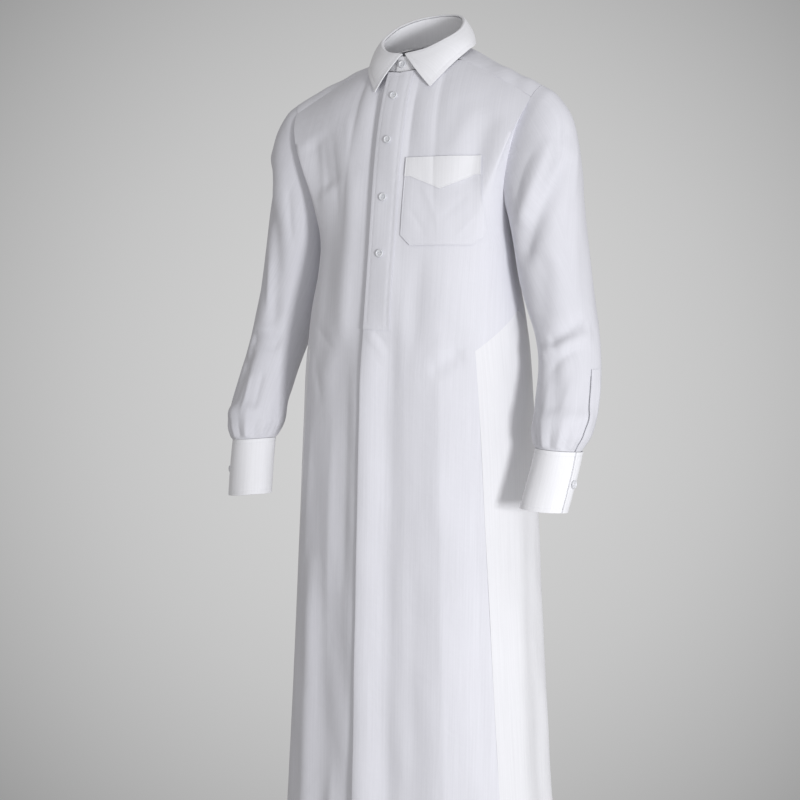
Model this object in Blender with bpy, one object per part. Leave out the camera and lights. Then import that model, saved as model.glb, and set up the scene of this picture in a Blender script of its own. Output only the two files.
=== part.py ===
"""Thobe robe in the form it has when worn, hanging from the shoulders.

Metres, +Z up. The front faces -Y and the wearer's left is +X.
The origin is on the body's axis, level with the base of the neck.
"""

import bpy
import numpy as np

# Cloth and gaps.
WALL = 0.0012
STIFF_WALL = 0.0018
BAND_WALL = 0.0009
SEAM_GAP = 0.00018
LIE_GAP = 0.0004

# Heights of the chest line and of the placket's lower end.
CHEST_Z = -0.30
PLACKET_END_Z = -0.41

# Neck: an ellipse round (0, NECK_Y).
NECK_Y = 0.018
NECK_RX = 0.066
NECK_RY = 0.060
FOLD_RX = 0.060
FOLD_RY = 0.054

# Front opening and the pressed pleat below it.
PLEAT_X = -0.020
FLAT_X = 0.030
PLEAT_PITCH = 0.0022
PLEAT_CREST = 0.006
NECK_CLEAR = 0.0035

# Pocket on the left chest. The lift is the gap between the panel and the patch.
POCKET_LIFT = 0.0014
BAND_LIFT = 0.0006
POCKET_X = (0.029, 0.140)
POCKET_Z = (-0.165, -0.291)
POCKET_CHAMFER = 0.015
BAND_DEPTH = 0.027
BAND_POINT = 0.046

BUTTON_R = 0.0058
BUTTON_H = 0.0026
BUTTON_Z = (-0.073, -0.137, -0.220, -0.302)
SLIT_PSI = 22.0
SLIT_TOP_Z = -0.475

# Body sections below the chest: height, half width, front depth, back depth.
BODY = np.array([
    (-0.20, 0.1540, 0.084, 0.104),
    (-0.26, 0.1520, 0.091, 0.102),
    (-0.30, 0.1535, 0.098, 0.101),
    (-0.345, 0.1590, 0.104, 0.103),
    (-0.38, 0.1650, 0.108, 0.107),
    (-0.44, 0.1720, 0.112, 0.114),
    (-0.56, 0.1785, 0.117, 0.124),
    (-0.69, 0.1830, 0.122, 0.132),
    (-0.86, 0.1900, 0.128, 0.138),
    (-1.07, 0.2010, 0.134, 0.144),
    (-1.25, 0.2120, 0.140, 0.150),
    (-1.43, 0.2220, 0.146, 0.156),
])
FRONT_FLATNESS = 0.20
BACK_FLATNESS = 0.24

# Front edge of the gore: height, angle from the front in degrees.
GORE_EDGE = np.array([
    (-0.30, 90.0),
    (-0.38, 90.0),
    (-0.44, 53.0),
    (-0.56, 55.0),
    (-0.80, 58.5),
    (-1.10, 61.3),
    (-1.43, 62.5),
])
LOWER_Z = np.array([-0.30, -0.32, -0.34, -0.36, -0.38, -0.382, -0.41, -0.44, -0.475, -0.52, -0.58,
                    -0.65, -0.74, -0.84, -0.95, -1.07, -1.19, -1.31, -1.43])
UPPER_ROWS = 10
GORE_ROW = 5

# Neckline and collar fold: angle from the front, height of the neckline, height of the fold.
NECK = np.array([
    (0.0, -0.037, -0.013),
    (30.0, -0.031, -0.006),
    (60.0, -0.017, 0.010),
    (90.0, -0.004, 0.027),
    (120.0, 0.009, 0.046),
    (150.0, 0.017, 0.058),
    (180.0, 0.020, 0.062),
])

# Armhole angles (0 is the shoulder tip, 180 the underarm, + towards the front) on each panel's part of it.
FRONT_PSI = np.linspace(36.0, 180.0, 9)
YOKE_PSI = np.array([36.0, 22.0, 4.0, -14.0, -32.0, -51.0, -70.5])
BACK_PSI = np.linspace(-70.5, -180.0, 7)

# Yoke: angle on the neckline, direction it leaves the neck, direction it reaches its outer edge.
YOKE = np.array([
    (69.5, 0.92, -0.08, -0.38, 0.86, -0.10, -0.50),
    (97.0, 0.93, -0.04, -0.34, 0.85, -0.05, -0.52),
    (125.0, 0.86, 0.30, -0.42, 0.50, -0.05, -0.86),
    (152.0, 0.45, 0.60, -0.66, 0.22, 0.08, -0.97),
    (180.0, 0.00, 0.66, -0.75, 0.00, 0.10, -0.99),
])
YOKE_SIDE_ANGLES = np.array([69.5, 79.0, 88.0, 97.0, 106.0, 115.0, 125.0])
YOKE_BACK_ANGLES = np.array([125.0, 136.0, 147.0, 158.0, 169.0, 180.0])

# Sleeve rings: outer x, outer z, inner x, inner z, centre y, half depth.
SLEEVE = np.array([
    (0.2050, -0.065, 0.1520, -0.245, 0.002, 0.043),
    (0.2240, -0.078, 0.1565, -0.257, 0.003, 0.050),
    (0.2430, -0.108, 0.1590, -0.272, 0.006, 0.056),
    (0.2515, -0.155, 0.1615, -0.292, 0.010, 0.059),
    (0.2555, -0.215, 0.1650, -0.318, 0.013, 0.059),
    (0.2615, -0.275, 0.1710, -0.345, 0.013, 0.058),
    (0.2725, -0.345, 0.1830, -0.378, 0.009, 0.055),
    (0.2860, -0.415, 0.1990, -0.420, 0.003, 0.050),
    (0.2955, -0.470, 0.2100, -0.465, -0.012, 0.047),
    (0.3000, -0.520, 0.2140, -0.512, -0.032, 0.045),
    (0.2980, -0.552, 0.2150, -0.545, -0.044, 0.043),
    (0.2905, -0.568, 0.2200, -0.562, -0.050, 0.037),
    (0.2860, -0.576, 0.2235, -0.571, -0.052, 0.033),
])
CUFF = np.array([
    (0.2860, -0.5768, 0.2235, -0.5718, -0.0522, 0.0330),
    (0.2830, -0.605, 0.2205, -0.600, -0.0605, 0.0325),
    (0.2790, -0.632, 0.2165, -0.627, -0.0690, 0.0320),
    (0.2750, -0.658, 0.2125, -0.653, -0.0770, 0.0315),
])

# Largest folds of the front and the back: x and z of one end, x and z of the other, half width, height.
FRONT_FOLDS = np.array([
    (-0.145, -0.13, -0.110, -0.20, 0.022, -0.0060),
    (-0.060, -0.19, -0.062, -0.42, 0.016, 0.0035),
    (-0.100, -0.22, -0.105, -0.46, 0.020, -0.0035),
    (0.150, -0.11, 0.118, -0.21, 0.014, -0.0050),
    (0.105, -0.08, 0.085, -0.15, 0.012, -0.0025),
    (0.010, -0.42, 0.018, -0.70, 0.012, -0.0040),
    (0.012, -0.70, 0.030, -1.43, 0.022, -0.0050),
    (-0.150, -0.75, -0.165, -1.43, 0.020, 0.0060),
    (-0.095, -0.80, -0.105, -1.43, 0.025, -0.0040),
    (0.092, -0.50, 0.110, -1.43, 0.018, 0.0025),
    (0.120, -0.44, 0.085, -0.47, 0.010, -0.0030),
])
BACK_FOLDS = np.array([
    (0.055, -0.30, 0.062, -1.43, 0.024, 0.0060),
    (-0.060, -0.26, -0.070, -1.43, 0.026, 0.0055),
    (0.000, -0.36, 0.000, -1.43, 0.024, -0.0050),
    (0.120, -0.55, 0.135, -1.43, 0.024, -0.0045),
    (-0.125, -0.50, -0.140, -1.43, 0.024, -0.0045),
    (0.140, -0.16, 0.095, -0.27, 0.016, -0.0050),
    (-0.140, -0.16, -0.098, -0.25, 0.016, -0.0045),
])

# Largest folds of the left sleeve: armhole angle and z of one end, of the other, half width, height.
SLEEVE_ARC = 0.055
SLEEVE_FOLDS_LEFT = np.array([
    (25.0, -0.17, 115.0, -0.31, 0.016, -0.0075),
    (45.0, -0.15, 110.0, -0.26, 0.012, 0.0040),
    (75.0, -0.31, 95.0, -0.39, 0.012, -0.0050),
    (20.0, -0.415, 120.0, -0.445, 0.010, 0.0050),
    (30.0, -0.40, 95.0, -0.43, 0.012, -0.0060),
    (95.0, -0.46, 85.0, -0.52, 0.010, -0.0040),
    (10.0, -0.53, 120.0, -0.535, 0.012, 0.0035),
    (-60.0, -0.20, -130.0, -0.33, 0.016, -0.0060),
    (-60.0, -0.41, -140.0, -0.43, 0.014, -0.0055),
    (-80.0, -0.50, -150.0, -0.53, 0.014, -0.0040),
])
SLEEVE_FOLDS_RIGHT = np.array([
    (20.0, -0.16, 75.0, -0.27, 0.016, -0.0065),
    (75.0, -0.27, 105.0, -0.40, 0.014, -0.0060),
    (50.0, -0.20, 90.0, -0.36, 0.014, 0.0040),
    (60.0, -0.425, 130.0, -0.43, 0.012, -0.0050),
    (70.0, -0.44, 60.0, -0.52, 0.014, -0.0045),
    (40.0, -0.535, 130.0, -0.53, 0.012, 0.0045),
    (-60.0, -0.19, -130.0, -0.34, 0.016, -0.0060),
    (-60.0, -0.42, -140.0, -0.44, 0.014, -0.0055),
    (-80.0, -0.50, -150.0, -0.525, 0.014, -0.0040),
])

# Outer edge of the collar fall, from the middle of the nape to the point, for each side.
FALL_SWELL = 0.004
FALL_LEFT = np.array([
    (0.000, 0.093, 0.021),
    (0.038, 0.086, 0.019),
    (0.063, 0.063, 0.015),
    (0.077, 0.034, 0.007),
    (0.079, 0.008, -0.005),
    (0.070, -0.024, -0.029),
    (0.053, -0.055, -0.062),
])
FALL_RIGHT = np.array([
    (0.000, 0.093, 0.021),
    (-0.038, 0.086, 0.019),
    (-0.063, 0.063, 0.015),
    (-0.077, 0.034, 0.007),
    (-0.078, 0.008, -0.005),
    (-0.065, -0.030, -0.029),
    (-0.039, -0.055, -0.064),
])

CLOTH_COLOUR = (0.83, 0.84, 0.88, 1.0)
BUTTON_COLOUR = (0.80, 0.81, 0.84, 1.0)


def clear_scene():
    for obj in list(bpy.data.objects):
        bpy.data.objects.remove(obj)


def unit(vectors):
    return vectors / np.linalg.norm(vectors, axis=-1, keepdims=True)


def ease(x):
    """0 below 0, 1 above 1, smooth between."""
    x = np.clip(x, 0.0, 1.0)
    return x * x * (3.0 - 2.0 * x)


def curve(knots, values, at):
    """Smooth curve through a table's rows, with the mean slope at each row."""
    if knots[0] > knots[-1]:
        knots = knots[::-1]
        values = values[::-1]
    at = np.asarray(at, float)
    slopes = np.gradient(values, knots, axis=0)
    i = np.clip(np.searchsorted(knots, at) - 1, 0, len(knots) - 2)
    step = knots[i + 1] - knots[i]
    t = np.clip((at - knots[i]) / step, 0.0, 1.0)
    if values.ndim > 1:
        t = t[..., None]
        step = step[..., None]
    start = (1 + 2 * t) * (1 - t) ** 2 * values[i] + t * (1 - t) ** 2 * step * slopes[i]
    end = t * t * (3 - 2 * t) * values[i + 1] + t * t * (t - 1) * step * slopes[i + 1]
    return start + end


def hermite(start, end, start_way, end_way, t):
    """Rows t of curves that leave start and reach end in given directions."""
    reach = np.linalg.norm(end - start, axis=-1, keepdims=True)
    t = t[:, None, None]
    near = (1 + 2 * t) * (1 - t) ** 2 * start + t * (1 - t) ** 2 * reach * start_way
    far = t * t * (3 - 2 * t) * end + t * t * (t - 1) * reach * end_way
    return near + far


def normals(mid, ring=False):
    """Outward normals of a grid whose rows go down and whose columns go round from front to left."""
    down = np.gradient(mid, axis=0)
    if ring:
        across = np.roll(mid, -1, axis=1) - np.roll(mid, 1, axis=1)
    else:
        across = np.gradient(mid, axis=1)
    return unit(np.cross(down, across))


def share(first, second):
    """Gives two edges on one seam the same normals."""
    mean = unit(first + second)
    first[:] = mean
    second[:] = mean


def pull_in(mid, side, gap):
    """Moves one edge of a grid back from its seam by gap."""
    if side == "top":
        mid[0] += gap * unit(mid[1] - mid[0])
    elif side == "bottom":
        mid[-1] += gap * unit(mid[-2] - mid[-1])
    elif side == "start":
        mid[:, 0] += gap * unit(mid[:, 1] - mid[:, 0])
    else:
        mid[:, -1] += gap * unit(mid[:, -2] - mid[:, -1])


def cloth(colour, roughness):
    material = bpy.data.materials.new("surface")
    material.use_nodes = True
    shader = material.node_tree.nodes["Principled BSDF"]
    shader.inputs["Base Color"].default_value = colour
    shader.inputs["Roughness"].default_value = roughness
    return material


def add_mesh(name, points, faces, colour=CLOTH_COLOUR, roughness=0.85):
    """One object with only the points that its faces use."""
    used = sorted({index for face in faces for index in face})
    place = {index: k for k, index in enumerate(used)}
    mesh = bpy.data.meshes.new(name)
    mesh.from_pydata([tuple(points[k]) for k in used], [], [[place[k] for k in face] for face in faces])
    mesh.polygons.foreach_set("use_smooth", [True] * len(mesh.polygons))
    mesh.materials.append(cloth(colour, roughness))
    mesh.update()
    bpy.context.scene.collection.objects.link(bpy.data.objects.new(name, mesh))


def wall(name, mid, normal, thickness, keep=None, ring=False):
    """Closed sheet of even thickness round a grid of middle points. keep marks the cells that are cloth."""
    rows, columns = mid.shape[:2]
    cells = columns if ring else columns - 1
    index = np.arange(rows * columns).reshape(rows, columns)
    following = np.roll(index, -1, axis=1)
    quads = np.stack([index[:-1], index[1:], following[1:], following[:-1]], axis=-1)[:, :cells]
    if keep is not None:
        quads = quads[keep]
    quads = quads.reshape(-1, 4)
    back = rows * columns
    starts = quads.reshape(-1)
    ends = np.roll(quads, -1, axis=1).reshape(-1)
    rim = ~np.isin(starts * back + ends, ends * back + starts)
    starts = starts[rim]
    ends = ends[rim]
    rims = np.stack([ends, starts, starts + back, ends + back], axis=1)
    shown = np.concatenate([quads[:, [0, 1, 2]], quads[:, [0, 2, 3]]])
    rims = np.concatenate([rims[:, [0, 1, 2]], rims[:, [0, 2, 3]]])
    faces = np.concatenate([shown, shown[:, ::-1] + back, rims])
    offset = 0.5 * thickness * normal
    points = np.concatenate([(mid + offset).reshape(-1, 3), (mid - offset).reshape(-1, 3)])
    add_mesh(name, points, faces.tolist())


def mirrored(mid):
    """The same grid on the other side, with its columns in the same sense."""
    return (mid * (-1.0, 1.0, 1.0))[:, ::-1]


def fold_field(a, b, rows):
    """Sum of soft ridges and troughs along straight lines in the plane (a, b)."""
    total = np.zeros(np.broadcast(a, b).shape)
    for a0, b0, a1, b1, half_width, height in rows:
        length = np.hypot(a1 - a0, b1 - b0)
        along = ((a - a0) * (a1 - a0) + (b - b0) * (b1 - b0)) / length ** 2
        near = np.clip(along, 0.0, 1.0)
        distance = np.hypot(a - a0 - near * (a1 - a0), b - b0 - near * (b1 - b0))
        fade = ease((along + 0.12) / 0.24) * ease((1.12 - along) / 0.24)
        total += height * fade * np.exp(-(distance / half_width) ** 2)
    return total


def body(angle, z):
    """Point of the body surface at an angle in degrees from the front towards the left."""
    half_width, front, back = np.moveaxis(curve(BODY[:, 0], BODY[:, 1:], z), -1, 0)
    turn = np.radians(angle)
    ahead = np.cos(turn)
    depth = np.where(ahead > 0, front, back)
    flatness = np.where(ahead > 0, FRONT_FLATNESS, BACK_FLATNESS)
    y = -depth * ahead * (1 + flatness * np.sin(turn) ** 2)
    return np.stack(np.broadcast_arrays(half_width * np.sin(turn), y, z), axis=-1)


def neck_height(angle, column):
    folded = np.abs((np.asarray(angle, float) + 180.0) % 360.0 - 180.0)
    return curve(NECK[:, 0], NECK[:, column], folded)


def neckline(angle):
    turn = np.radians(angle)
    return np.stack([NECK_RX * np.sin(turn), NECK_Y - NECK_RY * np.cos(turn), neck_height(angle, 1)], axis=-1)


def armhole(psi):
    """Left armhole seam."""
    turn = np.radians(psi)
    c = np.cos(turn)
    s = np.sin(turn)
    depth = np.where(s > 0, 0.036, 0.050)
    return np.stack([0.1785 + 0.0265 * c - 0.008 * s * s, -depth * s, -0.155 + 0.09 * c], axis=-1)


def yoke_back_seam(part):
    """Back edge of the yoke, part 0 in the middle and 1 at the left armhole."""
    corner = armhole(YOKE_PSI[-1])
    x = corner[0] * part
    y = 0.105 + (corner[1] - 0.105) * part ** 2.2
    z = -0.100 + (corner[2] + 0.100) * part ** 2
    return np.stack([x, y, z], axis=-1)


def yoke_half():
    """Left half of the yoke: rows from the neck outwards, columns from the front seam to the middle of the back."""
    angles = np.concatenate([YOKE_SIDE_ANGLES, YOKE_BACK_ANGLES[1:]])
    parts = (180.0 - YOKE_BACK_ANGLES[1:]) / (180.0 - YOKE_BACK_ANGLES[0])
    outer = np.concatenate([armhole(YOKE_PSI), yoke_back_seam(parts)])
    ways = curve(YOKE[:, 0], YOKE[:, 1:], angles)
    t = np.linspace(0.0, 1.0, 7)
    return hermite(neckline(angles), outer, unit(ways[:, :3]), unit(ways[:, 3:]), t)


def column_points(top, way, chest_angle, edge):
    """Rows of body columns: hung from the top edge to the chest, then down the body to the hem.

    edge gives the panel's own outer angle at each height. Columns keep their share of the width.
    """
    half = curve(BODY[:, 0], BODY[:, 1], LOWER_Z)
    flat = np.degrees(np.arcsin(FLAT_X / half))
    share_of_width = (chest_angle - flat[0]) / (edge[0] - flat[0])
    inner_x = half[0] * np.sin(np.radians(chest_angle))
    fixed = np.degrees(np.arcsin(np.clip(inner_x / half[:, None], -1.0, 1.0)))
    spread = flat[:, None] + share_of_width * (edge - flat)[:, None]
    angle = np.where(np.abs(inner_x) <= FLAT_X + 1e-6, fixed, spread)
    lower = body(angle, LOWER_Z[:, None])
    end_way = unit(lower[1] - lower[0])
    t = np.linspace(0.0, 1.0, UPPER_ROWS + 1)[:-1]
    upper = hermite(top, lower[0], unit(way), end_way, t)
    return np.concatenate([upper, lower])


def side_columns(yoke):
    """Front columns outside the flat middle: top points, directions, chest angles."""
    neck_angles = np.array([41.0, 55.0, 69.5])
    neck_top = neckline(neck_angles)
    top = np.concatenate([neck_top, yoke[1:, 0], armhole(FRONT_PSI[1:])])
    count = len(top)
    knots = np.array([0.0, 2.0, 8.0, 12.0, 14.0, 16.0])
    ways = np.array([
        (0.0, -0.62, -0.78),
        (0.05, -0.80, -0.60),
        (-0.10, -0.66, -0.75),
        (-0.28, -0.52, -0.80),
        (-0.12, -0.30, -0.95),
        (0.0, 0.0, -1.0),
    ])
    way = curve(knots, ways, np.arange(count, dtype=float))
    chest = np.concatenate([(17.5, 24.0, 30.3), np.linspace(30.3, 56.0, 7)[1:], np.linspace(56.0, 90.0, 9)[1:]])
    return top, way, chest


def gore_angle():
    return np.interp(-LOWER_Z, -GORE_EDGE[:, 0], GORE_EDGE[:, 1])


MIDDLE_X = np.array([-0.030, -0.020, -0.012, -0.004, 0.004, 0.012, 0.020, 0.030])
# Middle columns of the front from the right side to the left: place in MIDDLE_X, layer, sideways step.
PLEAT = np.array([
    (0, 0.0, 0), (1, 0.0, 0), (3, 0.0, 0), (5, 0.0, 0),
    (5, 0.5, 1),
    (5, 1.0, 0), (3, 1.0, 0), (1, 1.0, 0),
    (1, 1.5, -1),
    (1, 2.0, 0), (2, 2.0, 0), (3, 2.0, 0), (4, 2.0, 0), (5, 2.0, 0), (6, 1.7, 0), (7, 1.0, 0),
])
MIDDLE_LAYER = slice(5, 8)
TURNED_CELLS = slice(3, 9)
TOP_LAYER = slice(9, 15)


def front_base(yoke):
    """Smooth front without pleat or folds, in columns from the right side to the left."""
    top, way, chest = side_columns(yoke)
    edge = gore_angle()
    left = column_points(top, way, chest, edge)
    half = curve(BODY[:, 0], BODY[:, 1], CHEST_Z)
    neck_angle = np.degrees(np.arcsin(MIDDLE_X / NECK_RX))
    middle_way = np.tile((0.0, -0.46, -0.89), (len(MIDDLE_X), 1))
    middle_chest = np.degrees(np.arcsin(MIDDLE_X / half))
    middle = column_points(neckline(neck_angle), middle_way, middle_chest, edge)
    return np.concatenate([mirrored(left), middle, left], axis=1)


def front_folds(mid):
    x = mid[..., 0]
    z = mid[..., 2]
    crest = PLEAT_CREST * ease((PLACKET_END_Z + 0.03 - z) / 0.12) * np.exp(-((x - PLEAT_X) / 0.030) ** 2)
    pull = ease((-0.05 - z) / 0.04)
    return crest + pull * fold_field(x, z, FRONT_FOLDS)


def front_grid(yoke):
    """Front with folds and with its middle columns laid into the pleat."""
    base = front_base(yoke)
    normal = normals(base)
    base = base + front_folds(base)[..., None] * normal
    normal = normals(base)
    side = (base.shape[1] - len(MIDDLE_X)) // 2
    beyond = np.arange(side) + side + len(MIDDLE_X)
    place = np.concatenate([np.arange(side), side + PLEAT[:, 0].astype(int), beyond])
    layer = np.concatenate([np.zeros(side), PLEAT[:, 1], [0.35], np.zeros(side - 1)])
    step = np.concatenate([np.zeros(side), PLEAT[:, 2], np.zeros(side)])
    mid = base[:, place] + (layer * PLEAT_PITCH)[None, :, None] * normal[:, place]
    mid[..., 0] += step * 0.5 * PLEAT_PITCH
    normal = normal[:, place].copy()
    normal[:, side + MIDDLE_LAYER.start:side + MIDDLE_LAYER.stop] *= -1.0
    normal[:, side + np.flatnonzero(PLEAT[:, 2])] = (-1.0, 0.0, 0.0)
    return mid, normal, side


def back_grid(yoke):
    """Back below the yoke, in columns from the left side round to the right."""
    seam = yoke[-1, len(YOKE_PSI) - 1:]
    top = np.concatenate([armhole(BACK_PSI[:0:-1]), seam])
    knots = np.array([0.0, 2.0, 4.0, 6.0, 11.0])
    ways = np.array([
        (0.0, 0.0, -1.0),
        (-0.16, 0.32, -0.93),
        (-0.22, 0.42, -0.88),
        (-0.10, 0.30, -0.95),
        (0.0, 0.14, -0.99),
    ])
    way = curve(knots, ways, np.arange(len(top), dtype=float))
    chest = np.concatenate([np.linspace(90.0, 55.0, 7)[:-1], np.linspace(55.0, 0.0, 6)])
    left = back_columns(top, way, chest)
    return np.concatenate([left, mirrored(left)[:, 1:]], axis=1)


def back_columns(top, way, chest):
    """Columns of the left half of the back; chest angles are measured from the middle of the back."""
    edge = gore_angle()
    angle = 180.0 - chest * (edge / 90.0)[:, None]
    lower = body(angle, LOWER_Z[:, None])
    end_way = unit(lower[1] - lower[0])
    t = np.linspace(0.0, 1.0, UPPER_ROWS + 1)[:-1]
    upper = hermite(top, lower[0], unit(way), end_way, t)
    return np.concatenate([upper, lower])


def gore_grid():
    """Left side gore from its 45 degree top to the hem."""
    rows = LOWER_Z[GORE_ROW:]
    edge = gore_angle()[GORE_ROW:]
    share_of_width = np.linspace(0.0, 1.0, 6)
    angle = edge[:, None] + share_of_width * (180.0 - 2 * edge)[:, None]
    return body(angle, rows[:, None])


def sleeve_psi():
    """Armhole angles round the sleeve from the front seam backwards, with a pair of columns at the slit."""
    ring = np.concatenate([YOKE_PSI, BACK_PSI[1:], FRONT_PSI[-2:0:-1] - 360.0])
    slit = np.array([SLIT_PSI + 0.45, SLIT_PSI - 0.45])
    return np.concatenate([ring[:1], slit, ring[2:]])


def ring_points(row, psi):
    """Tilted ring through an outer and an inner point, with its own half depth."""
    outer_x, outer_z, inner_x, inner_z, y, depth = np.moveaxis(row, -1, 0)[..., None]
    c = np.cos(np.radians(psi))
    x = 0.5 * (outer_x + inner_x) + 0.5 * (outer_x - inner_x) * c
    z = 0.5 * (outer_z + inner_z) + 0.5 * (outer_z - inner_z) * c
    return np.stack([x, y - depth * np.sin(np.radians(psi)), z], axis=-1)


def sleeve_grid(folds):
    """Left sleeve from the armhole to the cuff seam."""
    psi = sleeve_psi()
    along = np.concatenate([np.linspace(0.0, 9.0, 15), np.linspace(9.0, 12.0, 7)[1:]])
    mid = ring_points(curve(np.arange(len(SLEEVE), dtype=float), SLEEVE, along), psi)
    seam = armhole(psi) + np.array([1.0, 0.0, 0.0]) * (0.0015 - 0.0006 * np.cos(np.radians(psi)))[:, None]
    mid += (seam - mid[0]) * (1 - ease(along / 3.0))[:, None, None]
    normal = normals(mid, ring=True)
    arc = (psi + 180.0) % 360.0 - 180.0
    height = fold_field(np.radians(arc) * SLEEVE_ARC, mid[..., 2], arc_rows(folds))
    fade = ease(along / 2.5) * ease((12.0 - along) / 1.5)
    mid = mid + (height * fade[:, None])[..., None] * normal
    return mid, normals(mid, ring=True)


def arc_rows(folds):
    rows = folds.copy()
    rows[:, 0] = np.radians(rows[:, 0]) * SLEEVE_ARC
    rows[:, 2] = np.radians(rows[:, 2]) * SLEEVE_ARC
    return rows


def cuff_grid():
    """Left cuff: its free end starts over the slit and its other end runs on beneath."""
    psi = np.concatenate([[18.0, 5.0], np.linspace(-8.0, -328.0, 17), [-342.0, -355.0, -366.0]])
    lift = (STIFF_WALL + LIE_GAP) * ease((psi + 55.0) / 47.0)
    mid = ring_points(curve(np.arange(len(CUFF), dtype=float), CUFF, np.linspace(0.0, 3.0, 5)), psi)
    normal = normals(mid)
    return mid + lift[:, None] * normal, normal


def stand_grid():
    """Collar stand: its under end starts left of the middle, goes round, and ends on top right of the middle."""
    angle = np.concatenate([[9.0, 0.0, -9.0], np.linspace(-20.0, -340.0, 25), [-351.0, -360.0, -369.0]])
    inward = (STIFF_WALL + LIE_GAP) * ease((angle + 40.0) / 31.0)
    turn = np.radians(angle)
    rows = []
    for t in (0.0, 0.5, 1.0):
        rx = NECK_RX + t * (FOLD_RX - NECK_RX) - inward
        ry = NECK_RY + t * (FOLD_RY - NECK_RY) - inward
        low = neck_height(angle, 1) + 0.0010
        z = low + t * (neck_height(angle, 2) - low)
        rows.append(np.stack([rx * np.sin(turn), NECK_Y - ry * np.cos(turn), z], axis=-1))
    mid = np.array(rows)[::-1, ::-1]
    return mid, normals(mid)


def fall_half(edge_rows):
    """One side of the collar fall: columns from the nape to the front end, rows from the fold outwards."""
    side = -1.0 if edge_rows[-1, 0] < 0 else 1.0
    c = np.linspace(0.0, 1.0, 13)
    angle = side * (180.0 - 177.0 * c)
    turn = np.radians(angle)
    edge = curve(np.linspace(0.0, 1.0, len(edge_rows)), edge_rows, c)
    rows = []
    for out, up in ((0.0, 0.0016), (0.0016, 0.0029), (0.0042, 0.0022)):
        x = (FOLD_RX + out) * np.sin(turn)
        y = NECK_Y - (FOLD_RY + out) * np.cos(turn)
        rows.append(np.stack([x, y, neck_height(angle, 2) + up], axis=-1))
    outward = unit(np.stack([np.sin(turn), -np.cos(turn), 0 * turn], axis=-1))
    for t in (0.2, 0.4, 0.6, 0.8, 1.0):
        swell = FALL_SWELL * np.sin(np.pi * t)
        rows.append(rows[2] * (1 - t) + edge * t + swell * outward)
    return np.array(rows)


def fall_grid():
    left = fall_half(FALL_LEFT)
    right = fall_half(FALL_RIGHT)
    mid = np.concatenate([right[:, ::-1], left[:, 1:]], axis=1)[:, ::-1]
    return mid, normals(mid)


def lay_on(mid, normal, columns, rows, height):
    """Part of a grid moved out along its normals. columns may fall between the grid's own."""
    low = np.floor(columns).astype(int)
    part = (np.asarray(columns) - low)[None, :, None]
    high = np.minimum(low + 1, mid.shape[1] - 1)
    points = mid[rows][:, low] * (1 - part) + mid[rows][:, high] * part
    ways = unit(normal[rows][:, low] * (1 - part) + normal[rows][:, high] * part)
    return points + height * ways, ways


def grid_triangles(grid):
    """Both triangles of each cell of a grid."""
    corners = [grid[:-1, :-1], grid[1:, :-1], grid[1:, 1:], grid[:-1, 1:]]
    halves = []
    for picks in ((0, 1, 2), (0, 2, 3)):
        halves.append(np.stack([corners[k] for k in picks], axis=2).reshape(-1, 3, 3))
    return np.concatenate(halves)


def find_on(mid, normal, x, z):
    """Points and normals of a grid's faces at given x and z."""
    triangles = grid_triangles(mid)
    turned = grid_triangles(normal)
    a, b, c = np.moveaxis(triangles[:, :, [0, 2]], 1, 0)
    query = np.stack([x, z], axis=-1).reshape(-1, 1, 2)
    area = cross2(b - a, c - a)
    v = cross2(query - a, c - a) / area
    w = cross2(b - a, query - a) / area
    u = 1 - v - w
    best = np.argmax(np.minimum(np.minimum(u, v), w), axis=1)
    pick = np.arange(len(best))
    weights = np.stack([u[pick, best], v[pick, best], w[pick, best]], axis=-1)[..., None]
    points = (triangles[best] * weights).sum(axis=1)
    found = unit((turned[best] * weights).sum(axis=1))
    return points.reshape(x.shape + (3,)), found.reshape(x.shape + (3,))


def cross2(p, q):
    return p[..., 0] * q[..., 1] - p[..., 1] * q[..., 0]


def pocket_outline():
    """x and z of the pocket's points: a square patch with chamfered lower corners."""
    across = np.linspace(0.0, 1.0, 11)
    down = np.linspace(0.0, 1.0, 10)
    width = POCKET_X[1] - POCKET_X[0]
    depth = POCKET_Z[0] - POCKET_Z[1]
    a, d = np.meshgrid(across, down)
    bottom = 1 - POCKET_CHAMFER / depth * np.clip(1 - np.minimum(a, 1 - a) * width / POCKET_CHAMFER, 0.0, 1.0)
    return POCKET_X[0] + a * width, POCKET_Z[0] - d * bottom * depth


def band_outline():
    """x and z of the pocket band, whose lower edge dips to a point in the middle."""
    across = np.linspace(0.0, 1.0, 11)
    down = np.linspace(0.0, 1.0, 4)
    a, d = np.meshgrid(across, down)
    depth = BAND_DEPTH + (BAND_POINT - BAND_DEPTH) * np.clip(1 - np.abs(a - 0.5) / 0.42, 0.0, 1.0)
    width = POCKET_X[1] - POCKET_X[0]
    return POCKET_X[0] + 0.0006 + a * (width - 0.0012), POCKET_Z[0] - 0.0006 - d * depth


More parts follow.
